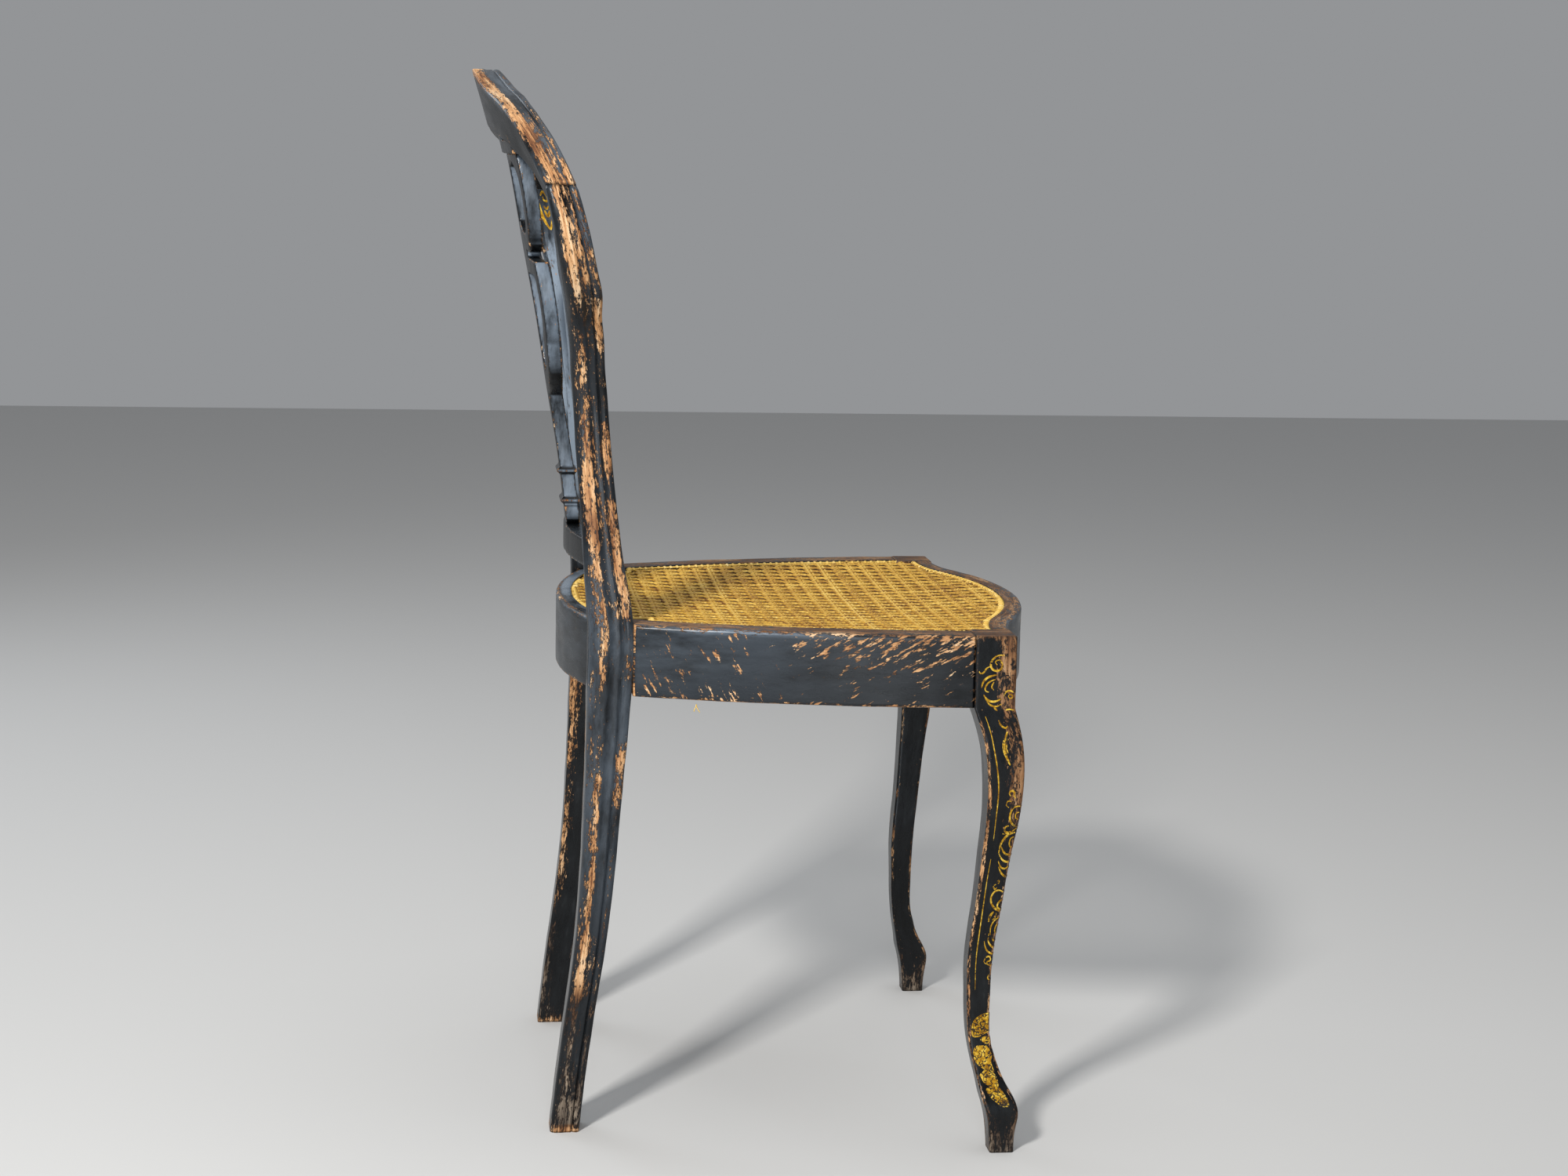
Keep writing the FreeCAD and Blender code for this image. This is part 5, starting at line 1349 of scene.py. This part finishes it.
class Strands:
    """Flat half-round strands gathered into one mesh; uv runs across and along each strand in metres."""

    def __init__(self):
        self.verts = []
        self.faces = []
        self.uvs = []
        self.layers = {"tone": [], "edge": []}

    def add(self, line, travelled, tone, wide, dirt_and_shade=1.0, uv_from=0.0):
        """Strand through line's rows (point, side, height), with the uv along it before and after each row."""
        width = len(STRAND_SECTION)
        for index, (point, side, height) in enumerate(line):
            for across, up, dark in STRAND_SECTION:
                place = point + side * (wide * across)
                self.verts.append((place.x, place.y, height + STRAND_THICK * up))
                self.layers["tone"].append(tone)
                # Edge value, darkened with dirt and painted shade
                self.layers["edge"].append(dark * dirt_and_shade)
            if not index:
                continue
            base = len(self.verts) - width
            near, far = travelled[index]
            for k in range(width - 1):
                self.faces.append((base - width + k, base - width + 1 + k, base + 1 + k, base + k))
                low, high = uv_from + k * wide / width, uv_from + (k + 1) * wide / width
                self.uvs.append(((low, near), (high, near), (high, far), (low, far)))

    def add_loop(self, line, tone, wide):
        travelled = [((index - 1) * wide, index * wide) for index in range(len(line))]
        self.add(line, travelled, tone, wide, LOOP_DIRT_AND_SHADE)

    def link(self, name):
        return link_mesh(name, self.verts, self.faces, self.uvs, self.layers)


def ribbon_mesh(name, runs, side, lift_of, tone_shift):
    """Straight strands on the slack cane; lift_of(point) gives the over-and-under height."""
    strands = Strands()
    for number, points in enumerate(runs):
        tone = noise.noise(Vector((number * 0.73, len(points) * 0.11, points[0].x * 9.0))) + tone_shift
        steps = [0.0] + [(after - before).length for before, after in zip(points, points[1:])]
        travelled = [(distance, distance) for distance in number * 0.37 + np.cumsum(steps)]
        line = []
        for index, point in enumerate(points):
            end = index in (0, len(points) - 1)
            lift = -STRAND_THICK if end else lift_of(point)
            line.append((point, side, cane_level(point.x, point.y) + lift))
        strands.add(line, travelled, tone, STRAND_WIDTH, uv_from=-STRAND_WIDTH / 2)
    return strands.link(name)


def add_cane(material):
    columns = int(SEAT_FRONT_HALF / CANE_PITCH_X)
    rows = int(cane_half_y / CANE_PITCH_Y) + 2
    lanes = rows + 2 * columns
    first_x = -columns * CANE_PITCH_X
    first_y = cane_mid_y - rows * CANE_PITCH_Y
    for kind in (-1, 1):
        gap = kind * PAIR_GAP / 2
        slope = Vector((CANE_PITCH_X, kind * CANE_PITCH_Y, 0))
        # Name, starts, one pitch of the strand, its length, mean lift, swing of the lift and tone
        families = [
            ("along", [(column * CANE_PITCH_X + gap, first_y) for column in range(-columns, columns + 1)],
             Vector((0, CANE_PITCH_Y, 0)), 2 * cane_half_y + 4 * CANE_PITCH_Y, 0.3, 0.6, 0.15),
            ("across", [(first_x, cane_mid_y + row * CANE_PITCH_Y + gap) for row in range(-rows, rows + 1)],
             Vector((CANE_PITCH_X, 0, 0)), 2 * SEAT_FRONT_HALF, 0.9, -0.6, 0.0),
            ("diagonal", [(first_x - CANE_PITCH_X, cane_mid_y + (lane + 0.5) * CANE_PITCH_Y)
                          for lane in range(-lanes, lanes)],
             slope, (2 * columns + 2) * slope.length, 0.6, 1.2, -0.2),
        ]
        for name, starts, pitch, length, mean, swing, tone in families:
            direction = pitch.normalized()
            side = Vector((direction.y, -direction.x, 0))
            runs = []
            for x, y in starts:
                runs += strand_runs(Vector((x, y, 0)), direction, length, pitch.length / STEPS_PER_PITCH)

            def lift(point, name=name, mean=mean, swing=swing, kind=kind):
                turns = (point.y - cane_mid_y) / CANE_PITCH_Y if name == "along" else point.x / CANE_PITCH_X
                return STRAND_LIFT * (mean + kind * swing * math.cos(turns * math.pi * 2))

            piece = ribbon_mesh("cane_%s_%d" % (name, kind + 2), runs, side, lift, tone)
            finish_piece(piece, material)
    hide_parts("cane_panel")


# Loops that bind the cane at the rebate, and the strand's ends that hang below the near side rail

LOOP_PITCH = 0.0062
LOOP_REACH = 0.0052
LOOP_RISE = 0.0012
LOOP_TOP = CANE_TOP - 0.0006
# Share of a loop's reach and share of its rise there
LOOP_SHARES = [(0.0, 0.0), (0.2, 0.6), (0.45, 1.0), (0.7, 0.9), (0.9, 0.4), (1.0, -0.4)]
BORDER_POINTS = 720
HALVINGS = 18
EDGE_CORD_INSET = 0.0022
CORD_TOP = CANE_TOP - 0.0002
CORD_TONE = 0.55
LOOSE_TONE = 0.9
LOOSE_ENDS = [
    [(-0.1970, 0.0610, 0.3756), (-0.1975, 0.0607, 0.3735), (-0.1980, 0.0595, 0.3710), (-0.1978, 0.0582, 0.3690)],
    [(-0.1970, 0.0610, 0.3756), (-0.1980, 0.0617, 0.3732), (-0.1978, 0.0626, 0.3715), (-0.1972, 0.0628, 0.3696)],
]


def cane_border(inset, count):
    """Closed line of points just inside the rebate, found outward from the seat's middle."""
    middle = Vector((0, cane_mid_y, 0))
    points = []
    for number in range(count):
        turn = 2 * math.pi * number / count
        ray = Vector((math.cos(turn), math.sin(turn), 0))
        near, far = 0.0, SEAT_FRONT_HALF * 1.3
        for _ in range(HALVINGS):
            half_way = (near + far) / 2
            place = middle + ray * half_way
            if in_cane(place.x, place.y, inset):
                near = half_way
            else:
                far = half_way
        points.append(middle + ray * near)
    return points


def even_places(points, pitch):
    """Places at an even pitch along a closed line, each with the inward and the forward direction there."""
    closed = np.array(points + points[:1])
    travelled = np.concatenate([[0], np.cumsum(np.linalg.norm(np.diff(closed, axis=0), axis=1))])
    count = int(travelled[-1] / pitch)

    def point_at(distance):
        return Vector([float(np.interp(distance, travelled, closed[:, axis])) for axis in range(3)])

    places = []
    for number in range(count):
        distance = travelled[-1] * number / count
        here = point_at(distance)
        along = (point_at((distance + pitch * 0.3) % travelled[-1]) - here).normalized()
        places.append((here, Vector((-along.y, along.x, 0)), along))
    return places


def add_cane_edge(material):
    strands = Strands()
    for point, inward, along in even_places(cane_border(0.0, BORDER_POINTS), LOOP_PITCH):
        wander = noise.noise(point * 90.0)
        reach = LOOP_REACH * (1 + 0.35 * wander)
        slant = (inward + along * 0.5 * wander).normalized()
        side = Vector((slant.y, -slant.x, 0))
        line = [(point + slant * (reach * share), side, LOOP_TOP + LOOP_RISE * rise)
                for share, rise in LOOP_SHARES]
        strands.add_loop(line, 0.9 + 0.8 * noise.noise(point * 300.0), STRAND_WIDTH * 0.95)
    cord = even_places(cane_border(EDGE_CORD_INSET, BORDER_POINTS), LOOP_PITCH / 3)
    cord.append(cord[0])
    strands.add_loop([(point, -inward, CORD_TOP) for point, inward, _ in cord], CORD_TONE, STRAND_WIDTH * 1.1)
    piece = strands.link("cane_edge_loops")
    finish_piece(piece, material, "cane_binding")


def add_loose_ends(material):
    for number, rows in enumerate(LOOSE_ENDS):
        half, slim = STRAND_THICK / 2, STRAND_THICK / 3
        rings = [[(x, y - half, z), (x - slim, y, z), (x, y + half, z), (x + slim, y, z)]
                 for x, y, z in spline_rows(rows, 14)]
        count = (len(rings), 4)
        layers = {"tone": np.full(count, LOOSE_TONE), "edge": np.full(count, 0.1)}
        finish_piece(sweep("cane_loose_end_%d" % (number + 1), rings, layers), material)


def add_plain_nodes(inner_wood):
    """Materials of the solids that stay as they are."""
    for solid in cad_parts.values():
        solid.data.materials.clear()
        solid.data.materials.append(inner_wood)


add_camera()
add_studio()
paint = painted_wood("chipped_black_paint")
rail_paint = painted_wood("scratched_black_paint", scratches=True)
back_paint = painted_wood("rubbed_black_paint", solid=True)
raw_wood = bare_wood("inner_wood")
add_plain_nodes(raw_wood)
add_posts(paint)
add_crest(paint)
for fret in ("splat", "splat_head_block", "cross_rail"):
    add_worn_copy(fret, back_paint)
add_rails(rail_paint)
add_front_legs(paint)
add_gilding(gilt("rubbed_gilding"))
golden_cane = cane_material("golden_cane")
add_cane(golden_cane)
add_cane_edge(golden_cane)
add_loose_ends(golden_cane)
